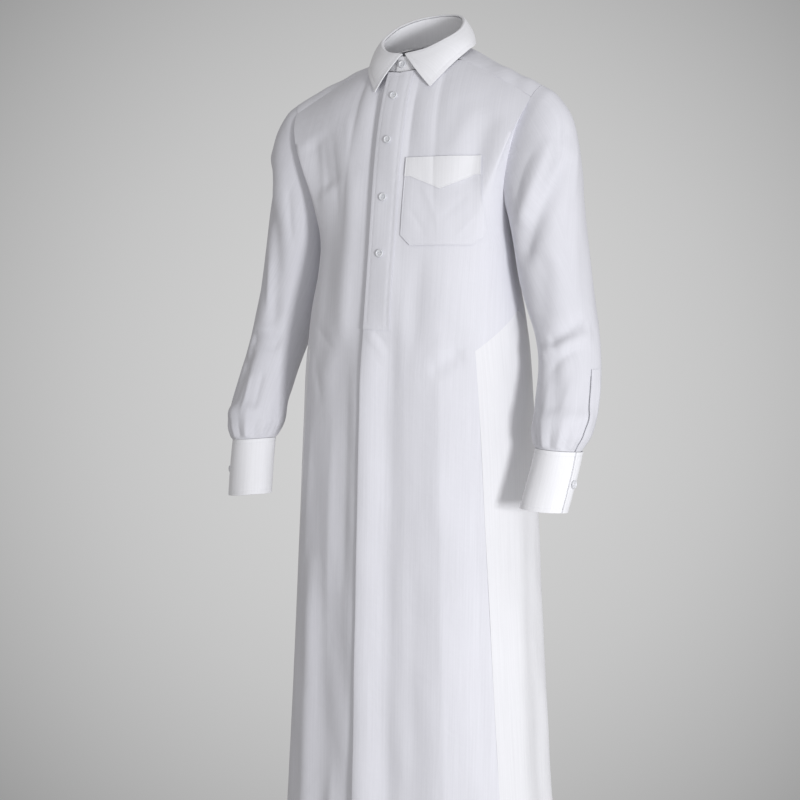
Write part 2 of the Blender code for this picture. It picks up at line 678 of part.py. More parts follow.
def button(name, centre, way):
    """Round button with a dished face, standing on the cloth at centre."""
    count = 16
    profile = np.array([(0.82, 0.0), (1.0, 0.3), (1.0, 0.75), (0.9, 1.0), (0.72, 0.82)])
    turn = np.linspace(0.0, 2 * np.pi, count, endpoint=False)
    way = way / np.linalg.norm(way)
    across = np.cross((0.0, 0.0, 1.0), way)
    across = across / np.linalg.norm(across)
    up = np.cross(way, across)
    circle = np.cos(turn)[:, None] * across + np.sin(turn)[:, None] * up
    rings = [centre + BUTTON_R * r * circle + BUTTON_H * h * way for r, h in profile]
    rings.append(np.array([centre, centre + BUTTON_H * 0.7 * way]))
    points = np.concatenate(rings)
    faces = []
    for k in range(len(profile) - 1):
        for i in range(count):
            j = (i + 1) % count
            faces.append([k * count + i, k * count + j, (k + 1) * count + j, (k + 1) * count + i])
    low = len(profile) * count
    last = (len(profile) - 1) * count
    for i in range(count):
        j = (i + 1) % count
        faces.append([low, j, i])
        faces.append([low + 1, last + i, last + j])
    add_mesh(name, points, faces, BUTTON_COLOUR, 0.35)


def build_body():
    half = yoke_half()
    yoke = np.concatenate([half, mirrored(half)[:, 1:]], axis=1)
    yoke_normal = normals(yoke)
    front, front_normal, side = front_grid(half)
    back = back_grid(half)
    back = back + fold_field(back[..., 0], back[..., 2], BACK_FOLDS)[..., None] * normals(back)
    back_normal = normals(back)
    gore = gore_grid()
    gore_normal = normals(gore)
    join_seams(yoke_normal, front_normal, back_normal, gore_normal)
    for grid, sides in ((yoke, ("top", "bottom", "start", "end")), (back, ("top", "start", "end")),
                        (front, ("top", "start", "end")), (gore, ("top", "start", "end"))):
        for name in sides:
            pull_in(grid, name, SEAM_GAP)
    raised = slice(side + 5, side + len(PLEAT) + 1)
    front[0, raised] += NECK_CLEAR * unit(front[1, raised] - front[0, raised])
    keep = np.ones((front.shape[0] - 1, front.shape[1] - 1), bool)
    slit_rows = UPPER_ROWS + int(np.argmin(np.abs(LOWER_Z - PLACKET_END_Z)))
    keep[:slit_rows, side + TURNED_CELLS.start:side + TURNED_CELLS.stop] = False
    wall("yoke", yoke, yoke_normal, WALL)
    wall("front", front, front_normal, WALL, keep)
    wall("back", back, back_normal, WALL)
    wall("side_gore_left", gore, gore_normal, WALL)
    wall("side_gore_right", mirrored(gore), mirrored(gore_normal), WALL)
    return front, front_normal, side, slit_rows


def join_seams(yoke_normal, front_normal, back_normal, gore_normal):
    """Shared normals along the yoke, side and gore seams."""
    seam = len(yoke_normal)
    arm = len(FRONT_PSI) - 1
    last = front_normal.shape[1] - arm - seam
    share(front_normal[0, last:last + seam], yoke_normal[:, 0])
    share(front_normal[0, arm:arm + seam][::-1], yoke_normal[:, -1])
    start = len(BACK_PSI) - 1
    across = 2 * len(YOKE_BACK_ANGLES) - 1
    corner = len(YOKE_PSI) - 1
    share(back_normal[0, start:start + across], yoke_normal[-1, corner:corner + across])
    gore_row = UPPER_ROWS + GORE_ROW
    share(front_normal[:gore_row, -1], back_normal[:gore_row, 0])
    share(front_normal[:gore_row, 0], back_normal[:gore_row, -1])
    share(front_normal[gore_row:, -1], gore_normal[:, 0])
    share(back_normal[gore_row:, 0], gore_normal[:, -1])


def build_front_trim(front, normal, side, slit_rows):
    rows = slice(0, slit_rows + 1)
    lift = WALL / 2 + LIE_GAP + BAND_WALL / 2
    top = side + np.arange(TOP_LAYER.start, TOP_LAYER.stop)
    points, ways = lay_on(front, normal, top, rows, lift)
    pull_in(points, "top", 0.0004)
    wall("placket", points, ways, BAND_WALL)
    placket = points + BAND_WALL / 2 * ways
    under = side + np.array([0.6, 1.0, 2.0, 2.9])
    points, under_ways = lay_on(front, normal, under, slice(0, slit_rows), WALL / 2 + 0.0003 + 0.0004)
    pull_in(points, "top", 0.004)
    wall("placket_under", points, under_ways, 0.0008)
    left = slice(side + len(PLEAT) - 1, None)
    build_pocket(front[:UPPER_ROWS + 2, left], normal[:UPPER_ROWS + 2, left])
    for k, z in enumerate(BUTTON_Z):
        centre, way = find_on(placket, ways, np.array([-0.001]), np.array([z]))
        button(f"button_{k + 1}", centre[0] + 0.0003 * way[0], way[0])


def build_pocket(panel, normal):
    lift = WALL / 2 + POCKET_LIFT + BAND_WALL / 2
    x, z = pocket_outline()
    points, ways = find_on(panel, normal, x, z)
    wall("pocket", points + lift * ways, ways, BAND_WALL)
    x, z = band_outline()
    points, ways = find_on(panel, normal, x, z)
    wall("pocket_band", points + (lift + BAND_WALL + BAND_LIFT) * ways, ways, BAND_WALL)


def build_sleeve(name, folds, turn):
    """Sleeve, its placket strip, cuff and cuff button on one side."""
    mid, normal = sleeve_grid(folds)
    keep = np.ones((mid.shape[0] - 1, mid.shape[1]), bool)
    keep[mid[1:, 1, 2] < SLIT_TOP_Z, 1] = False
    low = int(np.argmax(mid[:, 1, 2] < SLIT_TOP_Z))
    rows = slice(low - 1, mid.shape[0])
    lift = WALL / 2 + 2 * LIE_GAP + BAND_WALL / 2
    strip, strip_ways = lay_on(mid, normal, np.array([2.0, 2.6, 3.0, 3.25]), rows, lift)
    pull_in(strip, "bottom", 0.0012)
    cuff, cuff_normal = cuff_grid()
    top = cuff[2, 1] + (STIFF_WALL / 2 + 0.0003) * cuff_normal[2, 1]
    top_way = cuff_normal[2, 1]
    if turn < 0:
        mid, normal, strip, strip_ways, cuff, cuff_normal = map(
            mirrored, (mid, normal, strip, strip_ways, cuff, cuff_normal))
        keep = flipped(keep)
    wall(f"sleeve_{name}", mid, normal, WALL, keep, ring=True)
    wall(f"sleeve_placket_{name}", strip, strip_ways, BAND_WALL)
    wall(f"cuff_{name}", cuff, cuff_normal, STIFF_WALL)
    side = np.array([turn, 1.0, 1.0])
    button(f"button_cuff_{name}", top * side, top_way * side)


def flipped(keep):
    """Cells of the mirrored ring: cell k there lies between columns k and k + 1 counted from the other end."""
    return np.roll(keep[:, ::-1], -1, axis=1)


def build_collar():
    stand, stand_normal = stand_grid()
    wall("collar_stand", stand, stand_normal, STIFF_WALL)
    fall, fall_normal = fall_grid()
    wall("collar", fall, fall_normal, STIFF_WALL)
    centre = stand[1, 1] + (STIFF_WALL / 2 + 0.0003) * stand_normal[1, 1]
    button("button_collar", centre, stand_normal[1, 1])


def main():
    clear_scene()
    front, normal, side, slit_rows = build_body()
    build_front_trim(front, normal, side, slit_rows)
    build_sleeve("left", SLEEVE_FOLDS_LEFT, 1.0)
    build_sleeve("right", SLEEVE_FOLDS_RIGHT, -1.0)
    build_collar()


main()
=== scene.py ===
"""Looks of the thobe robe: every sewn piece as fine cloth on the form of its solid, in the worn shape.

Metres, +Z up. The front faces -Y and the wearer's left is +X.
"""

import bpy
import numpy as np
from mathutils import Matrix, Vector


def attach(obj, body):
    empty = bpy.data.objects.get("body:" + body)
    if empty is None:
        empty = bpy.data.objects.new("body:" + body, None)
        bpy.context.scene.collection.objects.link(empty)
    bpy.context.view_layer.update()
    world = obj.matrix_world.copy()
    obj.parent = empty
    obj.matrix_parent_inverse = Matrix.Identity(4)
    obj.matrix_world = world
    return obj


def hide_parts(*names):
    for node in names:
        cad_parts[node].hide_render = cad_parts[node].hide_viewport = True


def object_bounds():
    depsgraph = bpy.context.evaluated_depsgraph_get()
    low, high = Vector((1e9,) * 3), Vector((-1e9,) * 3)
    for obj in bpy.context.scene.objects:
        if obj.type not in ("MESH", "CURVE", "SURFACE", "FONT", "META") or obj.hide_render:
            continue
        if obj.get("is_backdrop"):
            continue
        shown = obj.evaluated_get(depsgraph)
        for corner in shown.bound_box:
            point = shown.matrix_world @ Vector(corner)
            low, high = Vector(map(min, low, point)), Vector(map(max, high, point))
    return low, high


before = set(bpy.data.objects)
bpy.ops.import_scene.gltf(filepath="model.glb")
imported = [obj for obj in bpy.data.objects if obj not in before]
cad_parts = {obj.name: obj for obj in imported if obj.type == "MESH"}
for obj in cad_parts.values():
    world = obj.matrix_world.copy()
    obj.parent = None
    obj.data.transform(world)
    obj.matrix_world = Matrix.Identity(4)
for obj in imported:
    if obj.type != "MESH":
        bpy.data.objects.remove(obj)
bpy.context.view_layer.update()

# FRONT
# One length of white shirting. It is slit from the neck to the placket end. Below that its two edges
# are folded over each other and pressed into a knife pleat that runs to the hem.

CLOTH_WALL = 0.0009
SEAM_GAP = 0.00006
NECK_Y = 0.018
NECK_RX = 0.066
NECK_RY = 0.060
CHEST_Z = -0.30
PLACKET_END_Z = -0.41
HEM_Z = -1.43
HEM_TURN = 0.024
HEM_RISE = 0.0003
HEM_FADE = 0.002
FLAT_X = 0.030
PLEAT_X = -0.020
PLEAT_PITCH = 0.0022
PLEAT_CREST = 0.0080
PLACKET_TOP_DROP = 0.0035
PLACKET_TOP_COLUMNS = 40

# Body sections: height, half width, front depth, back depth.
BODY = np.array([
    (-0.20, 0.1540, 0.084, 0.104),
    (-0.26, 0.1520, 0.091, 0.102),
    (-0.30, 0.1535, 0.098, 0.101),
    (-0.345, 0.1590, 0.104, 0.103),
    (-0.38, 0.1650, 0.108, 0.107),
    (-0.44, 0.1720, 0.112, 0.114),
    (-0.56, 0.1785, 0.117, 0.124),
    (-0.69, 0.1830, 0.122, 0.132),
    (-0.86, 0.1900, 0.128, 0.138),
    (-1.07, 0.2010, 0.134, 0.144),
    (-1.25, 0.2120, 0.140, 0.150),
    (-1.43, 0.2220, 0.146, 0.156),
])
FRONT_FLATNESS = 0.20
BACK_FLATNESS = 0.24

# Front edge of the side gore: height, angle from the front in degrees.
GORE_EDGE = np.array([
    (-0.30, 90.0),
    (-0.38, 90.0),
    (-0.44, 53.0),
    (-0.56, 55.0),
    (-0.80, 58.5),
    (-1.10, 61.3),
    (-1.43, 62.5),
])
LOWER_Z = np.concatenate([
    np.linspace(-0.30, -0.38, 17),
    np.linspace(-0.382, -0.41, 7),
    np.linspace(-0.41, -0.44, 8)[1:],
    np.linspace(-0.44, HEM_Z, 112)[1:],
])
GORE_ROW = 17
UPPER_ROWS = 56

# Neckline: angle from the front, height of the neckline, height of the collar fold.
NECK = np.array([
    (0.0, -0.037, -0.013),
    (30.0, -0.031, -0.006),
    (60.0, -0.017, 0.010),
    (90.0, -0.004, 0.027),
    (120.0, 0.009, 0.046),
    (150.0, 0.017, 0.058),
    (180.0, 0.020, 0.062),
])

# Directions in which the front leaves its top edge: place along that edge, x, y, z.
FRONT_WAY = np.array([
    (-1.0, 0.00, -0.46, -0.89),
    (0.0, 0.00, -0.62, -0.78),
    (2.0, 0.05, -0.80, -0.60),
    (8.0, -0.10, -0.66, -0.75),
    (12.0, -0.28, -0.52, -0.80),
    (14.0, -0.12, -0.30, -0.95),
    (16.0, 0.00, 0.00, -1.00),
])

# Main folds of the front: x and z of one end, x and z of the other, half width, height.
FRONT_FOLDS = np.array([
    (-0.145, -0.13, -0.110, -0.20, 0.022, -0.0060),
    (-0.060, -0.19, -0.062, -0.42, 0.016, 0.0035),
    (-0.100, -0.22, -0.105, -0.46, 0.020, -0.0035),
    (0.150, -0.11, 0.118, -0.21, 0.016, -0.0032),
    (0.105, -0.08, 0.085, -0.15, 0.016, -0.0012),
    (0.016, -0.42, 0.030, -1.43, 0.020, -0.0055),
    (-0.118, -0.75, -0.130, -1.43, 0.016, 0.0045),
    (-0.085, -0.80, -0.090, -1.43, 0.020, -0.0030),
    (0.092, -0.50, 0.110, -1.43, 0.020, 0.0015),
    (0.120, -0.44, 0.085, -0.47, 0.010, -0.0030),
])

# Finer creases: x and z of the start, the bend and the end, half width, height.
FRONT_CREASES = np.array([
    (-0.018, -0.412, 0.000, -0.428, 0.018, -0.455, 0.0040, 0.0016),
    (-0.006, -0.414, 0.006, -0.422, 0.016, -0.432, 0.0035, -0.0010),
    (0.088, -0.300, 0.0965, -0.60, 0.123, -1.43, 0.0060, 0.0006),
    (0.128, -0.436, 0.116, -0.446, 0.104, -0.452, 0.0050, -0.0008),
    (0.124, -0.458, 0.112, -0.464, 0.098, -0.476, 0.0060, 0.0007),
    (0.132, -0.425, 0.110, -0.410, 0.080, -0.400, 0.0090, -0.0006),
    (-0.128, -0.400, -0.105, -0.425, -0.070, -0.440, 0.0090, -0.0016),
    (-0.130, -0.445, -0.115, -0.470, -0.100, -0.520, 0.0080, -0.0016),
    (-0.138, -0.115, -0.125, -0.16, -0.118, -0.24, 0.0070, 0.0016),
    (-0.118, -0.105, -0.095, -0.16, -0.085, -0.26, 0.0090, -0.0016),
    (-0.085, -0.085, -0.070, -0.14, -0.068, -0.22, 0.0080, 0.0012),
    (0.128, -0.095, 0.108, -0.13, 0.095, -0.16, 0.0090, 0.0007),
    (0.163, -0.150, 0.140, -0.20, 0.134, -0.28, 0.0085, 0.0012),
    (0.150, -0.240, 0.143, -0.29, 0.147, -0.36, 0.0080, -0.0020),
    (-0.150, -0.240, -0.140, -0.30, -0.143, -0.37, 0.0090, -0.0020),
    (0.060, -0.295, 0.055, -0.36, 0.058, -0.46, 0.0100, -0.0014),
    (0.035, -0.330, 0.040, -0.42, 0.038, -0.55, 0.0080, 0.0010),
    (-0.045, -0.430, -0.050, -0.60, -0.048, -0.85, 0.0120, -0.0020),
    (-0.125, -0.520, -0.128, -0.64, -0.140, -0.80, 0.0110, 0.0022),
    (-0.075, -0.500, -0.082, -0.70, -0.080, -0.95, 0.0110, 0.0016),
    (0.055, -0.580, 0.066, -0.85, 0.072, -1.43, 0.0130, -0.0012),
    (0.140, -0.520, 0.148, -0.80, 0.165, -1.20, 0.0100, -0.0018),
    (-0.030, -0.900, -0.034, -1.15, -0.048, -1.43, 0.0120, -0.0030),
    (-0.066, -1.000, -0.072, -1.20, -0.076, -1.43, 0.0110, 0.0034),
    (0.082, -1.050, 0.088, -1.25, 0.092, -1.43, 0.0120, -0.0030),
    (0.152, -1.000, 0.160, -1.20, 0.170, -1.43, 0.0120, 0.0034),
])


def unit(vectors):
    return vectors / np.maximum(np.linalg.norm(vectors, axis=-1, keepdims=True), 1e-12)


def ease(x):
    """0 below 0, 1 above 1, smooth between."""
    x = np.clip(x, 0.0, 1.0)
    return x * x * (3.0 - 2.0 * x)


def curve(knots, values, at):
    """Smooth curve through a table's rows, with the mean slope at each row."""
    if knots[0] > knots[-1]:
        knots = knots[::-1]
        values = values[::-1]
    at = np.asarray(at, float)
    slopes = np.gradient(values, knots, axis=0)
    i = np.clip(np.searchsorted(knots, at) - 1, 0, len(knots) - 2)
    step = knots[i + 1] - knots[i]
    t = np.clip((at - knots[i]) / step, 0.0, 1.0)
    extra = (1,) * (values.ndim - 1)
    t = t.reshape(t.shape + extra)
    step = step.reshape(step.shape + extra)
    start = (1 + 2 * t) * (1 - t) ** 2 * values[i] + t * (1 - t) ** 2 * step * slopes[i]
    end = t * t * (3 - 2 * t) * values[i + 1] + t * t * (t - 1) * step * slopes[i + 1]
    return start + end


def hang(start, end, start_way, end_way, t):
    """Rows t of curves that leave start and reach end in the given directions."""
    reach = np.linalg.norm(end - start, axis=-1, keepdims=True)
    t = t[:, None, None]
    near = (1 + 2 * t) * (1 - t) ** 2 * start + t * (1 - t) ** 2 * reach * start_way
    far = t * t * (3 - 2 * t) * end + t * t * (t - 1) * reach * end_way
    return near + far


def outward(mid, ring=False):
    """Unit normals of a grid whose rows go down and whose columns go round from the front to the left."""
    down = np.gradient(mid, axis=0)
    if ring:
        across = np.roll(mid, -1, axis=1) - np.roll(mid, 1, axis=1)
    else:
        across = np.gradient(mid, axis=1)
    return unit(np.cross(down, across))


def mirrored(grid):
    """The same grid on the other side, with its columns in the same sense."""
    return (grid * (-1.0, 1.0, 1.0))[:, ::-1]


def pull_in(mid, sides, gap=SEAM_GAP):
    """The named edges of a grid go back from their seams by gap."""
    if "top" in sides:
        mid[0] += gap * unit(mid[1] - mid[0])
    if "bottom" in sides:
        mid[-1] += gap * unit(mid[-2] - mid[-1])
    if "start" in sides:
        mid[:, 0] += gap * unit(mid[:, 1] - mid[:, 0])
    if "end" in sides:
        mid[:, -1] += gap * unit(mid[:, -2] - mid[:, -1])


def turn_up(mid):
    """How far the cloth stands out where the turned hem lies behind it."""
    return HEM_RISE * ease((HEM_Z + HEM_TURN - mid[..., 2]) / HEM_FADE)


def folds(a, b, rows):
    """Sum of soft ridges and troughs along straight lines of the plane (a, b), faded at their ends."""
    total = np.zeros(np.broadcast(a, b).shape)
    for a0, b0, a1, b1, half_width, height in rows:
        length = np.hypot(a1 - a0, b1 - b0)
        along = ((a - a0) * (a1 - a0) + (b - b0) * (b1 - b0)) / length ** 2
        near = np.clip(along, 0.0, 1.0)
        distance = np.hypot(a - a0 - near * (a1 - a0), b - b0 - near * (b1 - b0))
        fade = ease((along + 0.12) / 0.24) * ease((1.12 - along) / 0.24)
        total += height * fade * np.exp(-(distance / half_width) ** 2)
    return total


def creases(a, b, rows):
    """Sum of creases along bent lines of the plane (a, b).

    Each line is a parabola from its start past its bend to its end. The height fades to both ends,
    and falls off with the distance d from the line as exp(-(d / half width) ** 1.6).
    """
    total = np.zeros(np.broadcast(a, b).shape)
    t = np.linspace(0.0, 1.0, 13)
    for a0, b0, a1, b1, a2, b2, half_width, height in rows:
        line_a = (1 - t) ** 2 * a0 + 2 * t * (1 - t) * a1 + t * t * a2
        line_b = (1 - t) ** 2 * b0 + 2 * t * (1 - t) * b1 + t * t * b2
        nearest = np.full(total.shape, 1e9)
        place = np.zeros(total.shape)
        for k in range(len(t) - 1):
            step_a = line_a[k + 1] - line_a[k]
            step_b = line_b[k + 1] - line_b[k]
            part = ((a - line_a[k]) * step_a + (b - line_b[k]) * step_b) / (step_a ** 2 + step_b ** 2)
            part = np.clip(part, 0.0, 1.0)
            distance = np.hypot(a - line_a[k] - part * step_a, b - line_b[k] - part * step_b)
            closer = distance < nearest
            nearest = np.where(closer, distance, nearest)
            place = np.where(closer, t[k] + part * t[1], place)
        fade = ease(place / 0.3) * ease((1 - place) / 0.35)
        total += height * fade * np.exp(-(nearest / half_width) ** 1.6)
    return total


def ripple(a, b, height, seed):
    """Faint uneven waves of 3 to 9 cm, as in cloth that has been worn and hung: a sum of 12 sines."""
    rng = np.random.default_rng(seed)
    total = 0.0
    for _ in range(12):
        turn = rng.uniform(-0.9, 0.9)
        length = rng.uniform(0.03, 0.09)
        phase = rng.uniform(0.0, 2 * np.pi)
        total = total + np.sin(2 * np.pi * (a * np.cos(turn) + b * np.sin(turn) * 0.45) / length + phase)
    return height / 3.5 * total


def body(angle, z):
    """Body surface: a flattened ellipse at each height, at an angle in degrees from the front to the left."""
    half_width, front, back = np.moveaxis(curve(BODY[:, 0], BODY[:, 1:], z), -1, 0)
    turn = np.radians(angle)
    ahead = np.cos(turn)
    depth = np.where(ahead > 0, front, back)
    flatness = np.where(ahead > 0, FRONT_FLATNESS, BACK_FLATNESS)
    y = -depth * ahead * (1 + flatness * np.sin(turn) ** 2)
    return np.stack(np.broadcast_arrays(half_width * np.sin(turn), y, z), axis=-1)


def neck_height(angle, column):
    folded = np.abs((np.asarray(angle, float) + 180.0) % 360.0 - 180.0)
    return curve(NECK[:, 0], NECK[:, column], folded)


def neckline(angle):
    """An ellipse round the neck that rises towards the nape."""
    turn = np.radians(angle)
    return np.stack([NECK_RX * np.sin(turn), NECK_Y - NECK_RY * np.cos(turn), neck_height(angle, 1)], axis=-1)


def armhole(psi):
    """Left armhole seam. psi is 0 at the shoulder tip, 180 at the underarm and positive at the front."""
    turn = np.radians(psi)
    c = np.cos(turn)
    s = np.sin(turn)
    depth = np.where(s > 0, 0.036, 0.050)
    return np.stack([0.1785 + 0.0265 * c - 0.008 * s * s, -depth * s, -0.155 + 0.09 * c], axis=-1)


def shoulder_seam(t):
    """Front edge of the left half of the yoke, from the neck to the armhole."""
    ways = unit(np.array([(0.92, -0.08, -0.38), (0.86, -0.10, -0.50)]))
    return hang(neckline(np.array([69.5])), armhole(np.array([36.0])), ways[:1], ways[1:], t)[:, 0]


def gore_angle():
    return np.interp(-LOWER_Z, -GORE_EDGE[:, 0], GORE_EDGE[:, 1])


def front_columns(top, way, chest_angle):
    """Front columns: hung from the top edge to the chest, then down the body inside the gore's edge."""
    edge = gore_angle()
    half = curve(BODY[:, 0], BODY[:, 1], LOWER_Z)
    flat = np.degrees(np.arcsin(FLAT_X / half))
    part = (chest_angle - flat[0]) / (edge[0] - flat[0])
    inner_x = half[0] * np.sin(np.radians(chest_angle))
    fixed = np.degrees(np.arcsin(np.clip(inner_x / half[:, None], -1.0, 1.0)))
    spread = flat[:, None] + part * (edge - flat)[:, None]
    angle = np.where(np.abs(inner_x) <= FLAT_X + 1e-6, fixed, spread)
    lower = body(angle, LOWER_Z[:, None])
    t = np.linspace(0.0, 1.0, UPPER_ROWS + 1)[:-1]
    upper = hang(top, lower[0], unit(way), unit(lower[1] - lower[0]), t)
    return np.concatenate([upper, lower])


def front_side():
    """Left part of the front outside its flat middle: neck, shoulder seam, then armhole."""
    neck = np.linspace(-1.0, 2.0, 13)[1:]
    seam = np.linspace(2.0, 8.0, 27)[1:]
    arm = np.linspace(8.0, 16.0, 31)[1:]
    angles = np.interp(neck, [-1.0, 0.0, 1.0, 2.0], [27.04, 41.0, 55.0, 69.5])
    shoulder = shoulder_seam((seam - 2.0) / 6.0)
    top = np.concatenate([neckline(angles), shoulder, armhole(36.0 + (arm - 8.0) * 18.0)])
    place = np.concatenate([neck, seam, arm])
    way = curve(FRONT_WAY[:, 0], FRONT_WAY[:, 1:], place)
    chest = np.interp(place, [-1.0, 0.0, 1.0, 2.0, 8.0, 16.0], [11.27, 17.5, 24.0, 30.3, 56.0, 90.0])
    return front_columns(top, way, chest)


def pleat_path(count):
    """Middle of the front from right to left, folded: column numbers, layers and sideways steps.

    It runs left under the placket, turns back beneath it, and turns again to lie on top. Each turn is
    a half circle whose diameter is the pitch of the layers.
    """
    x = np.linspace(-FLAT_X, FLAT_X, count)
    inner = int(np.argmin(np.abs(x - 0.012)))
    outer = int(np.argmin(np.abs(x - PLEAT_X)))
    turn = np.linspace(0.0, np.pi, 7)[1:-1]
    bulge = 0.5 * PLEAT_PITCH * np.sin(turn)
    rise = 0.5 * (1 - np.cos(turn))
    under = np.arange(0, inner + 1)
    middle = np.arange(inner, outer - 1, -1)
    over = np.arange(outer, count)
    place = np.concatenate([under, 0 * turn + inner, middle, 0 * turn + outer, over]).astype(int)
    fall = np.interp(x[over], [0.010, 0.020, 0.030], [2.0, 1.7, 1.0])
    layer = np.concatenate([0.0 * under, rise, 1 + 0.0 * middle, 1 + rise, fall])
    step = np.concatenate([0.0 * under, bulge, 0.0 * middle, -bulge, 0.0 * over])
    return place, layer, step, len(under) - 1, len(place) - len(over)


def front_surface():
    """Folded front: rows from the neck to the hem, columns from the right side to the left."""
    side = front_side()
    count = 31
    x = np.linspace(-FLAT_X, FLAT_X, count)
    chest = np.degrees(np.arcsin(x / curve(BODY[:, 0], BODY[:, 1], CHEST_Z)))
    way = np.tile(FRONT_WAY[0, 1:], (count, 1))
    flat = front_columns(neckline(np.degrees(np.arcsin(x / NECK_RX))), way, chest)
    base = np.concatenate([mirrored(side), flat, side], axis=1)
    normal = outward(base)
    x = base[..., 0]
    z = base[..., 2]
    crest = PLEAT_CREST * ease((PLACKET_END_Z + 0.03 - z) / 0.12) * np.exp(-((x - PLEAT_X) / 0.030) ** 2)
    pull = ease((-0.05 - z) / 0.04)
    height = folds(x, z, FRONT_FOLDS) + creases(x, z, FRONT_CREASES) + ripple(x, z, 0.0006, 4)
    base = base + (crest + pull * height)[..., None] * normal
    normal = outward(base)
    place, layer, step, first, last = pleat_path(count)
    n = side.shape[1]
    columns = np.concatenate([np.arange(n), n + place, n + count + np.arange(n)])
    beyond = np.interp(side[UPPER_ROWS, :, 0], [0.030, 0.046, 0.062], [1.0, 0.35, 0.0])
    layers = np.concatenate([np.zeros(n), layer, beyond])
    steps = np.concatenate([np.zeros(n), step, np.zeros(n)])
    mid = base[:, columns] + (layers * PLEAT_PITCH)[None, :, None] * normal[:, columns]
    mid[..., 0] += steps
    return mid, n + first, n + last


def arc_lengths(mid):
    """Distance along each grid line, across and down: the cloth's own flat coordinates in metres."""
    across = np.linalg.norm(np.diff(mid, axis=1), axis=-1)
    down = np.linalg.norm(np.diff(mid, axis=0), axis=-1)
    u = np.concatenate([np.zeros((len(mid), 1)), np.cumsum(across, axis=1)], axis=1)
    v = np.concatenate([np.zeros((1, mid.shape[1])), np.cumsum(down, axis=0)])
    return u - u.mean(axis=1, keepdims=True), v


def quad_mesh(name, points, faces):
    """Mesh of four-sided faces, from an array of points and an array of point numbers."""
    mesh = bpy.data.meshes.new(name)
    mesh.vertices.add(len(points))
    mesh.vertices.foreach_set("co", points.ravel())
    mesh.loops.add(faces.size)
    mesh.loops.foreach_set("vertex_index", faces.ravel())
    mesh.polygons.add(len(faces))
    mesh.polygons.foreach_set("loop_start", np.arange(0, faces.size, 4))
    mesh.update(calc_edges=True)
    return mesh


def add_object(name, data):
    obj = bpy.data.objects.new(name, data)
    bpy.context.scene.collection.objects.link(obj)
    return obj


def sew(name, mid, material, wall=CLOTH_WALL, keep=None, ring=False, normal=None):
    """Closed sheet round a grid of middle points, as an object with flat UVs.

    keep marks the cells of cloth, and ring joins the last column to the first.
    """
    if normal is None:
        normal = outward(mid, ring)
    rows, columns = mid.shape[:2]
    cells = columns if ring else columns - 1
    index = np.arange(rows * columns).reshape(rows, columns)
    following = np.roll(index, -1, axis=1)
    quads = np.stack([index[:-1], index[1:], following[1:], following[:-1]], axis=-1)[:, :cells]
    if keep is not None:
        quads = quads[keep]
    quads = quads.reshape(-1, 4)
    back = rows * columns
    starts = quads.reshape(-1)
    ends = np.roll(quads, -1, axis=1).reshape(-1)
    rim = ~np.isin(starts * back + ends, ends * back + starts)
    starts = starts[rim]
    ends = ends[rim]
    rims = np.stack([ends, starts, starts + back, ends + back], axis=1)
    faces = np.concatenate([quads, quads[:, ::-1] + back, rims])
    offset = 0.5 * wall * normal
    points = np.concatenate([(mid + offset).reshape(-1, 3), (mid - offset).reshape(-1, 3)])
    used, faces = np.unique(faces, return_inverse=True)
    faces = faces.reshape(-1, 4)
    mesh = quad_mesh(name, points[used], faces)
    u, v = arc_lengths(mid)
    flat = np.stack([u, v], axis=-1).reshape(-1, 2)
    flat = np.concatenate([flat, flat])[used]
    uv = mesh.uv_layers.new(name="cloth")
    uv.data.foreach_set("uv", flat[faces.ravel()].ravel())
    mesh.shade_smooth()
    mesh.set_sharp_from_angle(angle=np.radians(60.0))
    mesh.materials.append(material)
    return add_object(name, mesh)


def new_material(name):
    """A material with its nodes, its links, its shader and a socket of object coordinates."""
    material = bpy.data.materials.new(name)
    material.use_nodes = True
    nodes = material.node_tree.nodes
    place = nodes.new("ShaderNodeTexCoord").outputs["Object"]
    return material, nodes, material.node_tree.links, nodes["Principled BSDF"], place


def set_inputs(node, **values):
    """Constants for inputs by name, with _ for a space."""
    for key, value in values.items():
        node.inputs[key.replace("_", " ")].default_value = value


def add_node(nodes, links, kind, sockets=(), **values):
    """A node: sockets are links into its inputs by name or number, and values are constants by name."""
    node = nodes.new(f"ShaderNode{kind}")
    set_inputs(node, **values)
    for key, source in sockets:
        links.new(source, node.inputs[key])
    return node


def add_ramp(nodes, links, source, dark, light, start=0.0, end=1.0):
    """Colour ramp from dark to light over a factor socket."""
    node = nodes.new("ShaderNodeValToRGB")
    for element, position, colour in zip(node.color_ramp.elements, (start, end), (dark, light)):
        element.position = position
        element.color = tuple(colour) + (1.0,)
    links.new(source, node.inputs["Fac"])
    return node


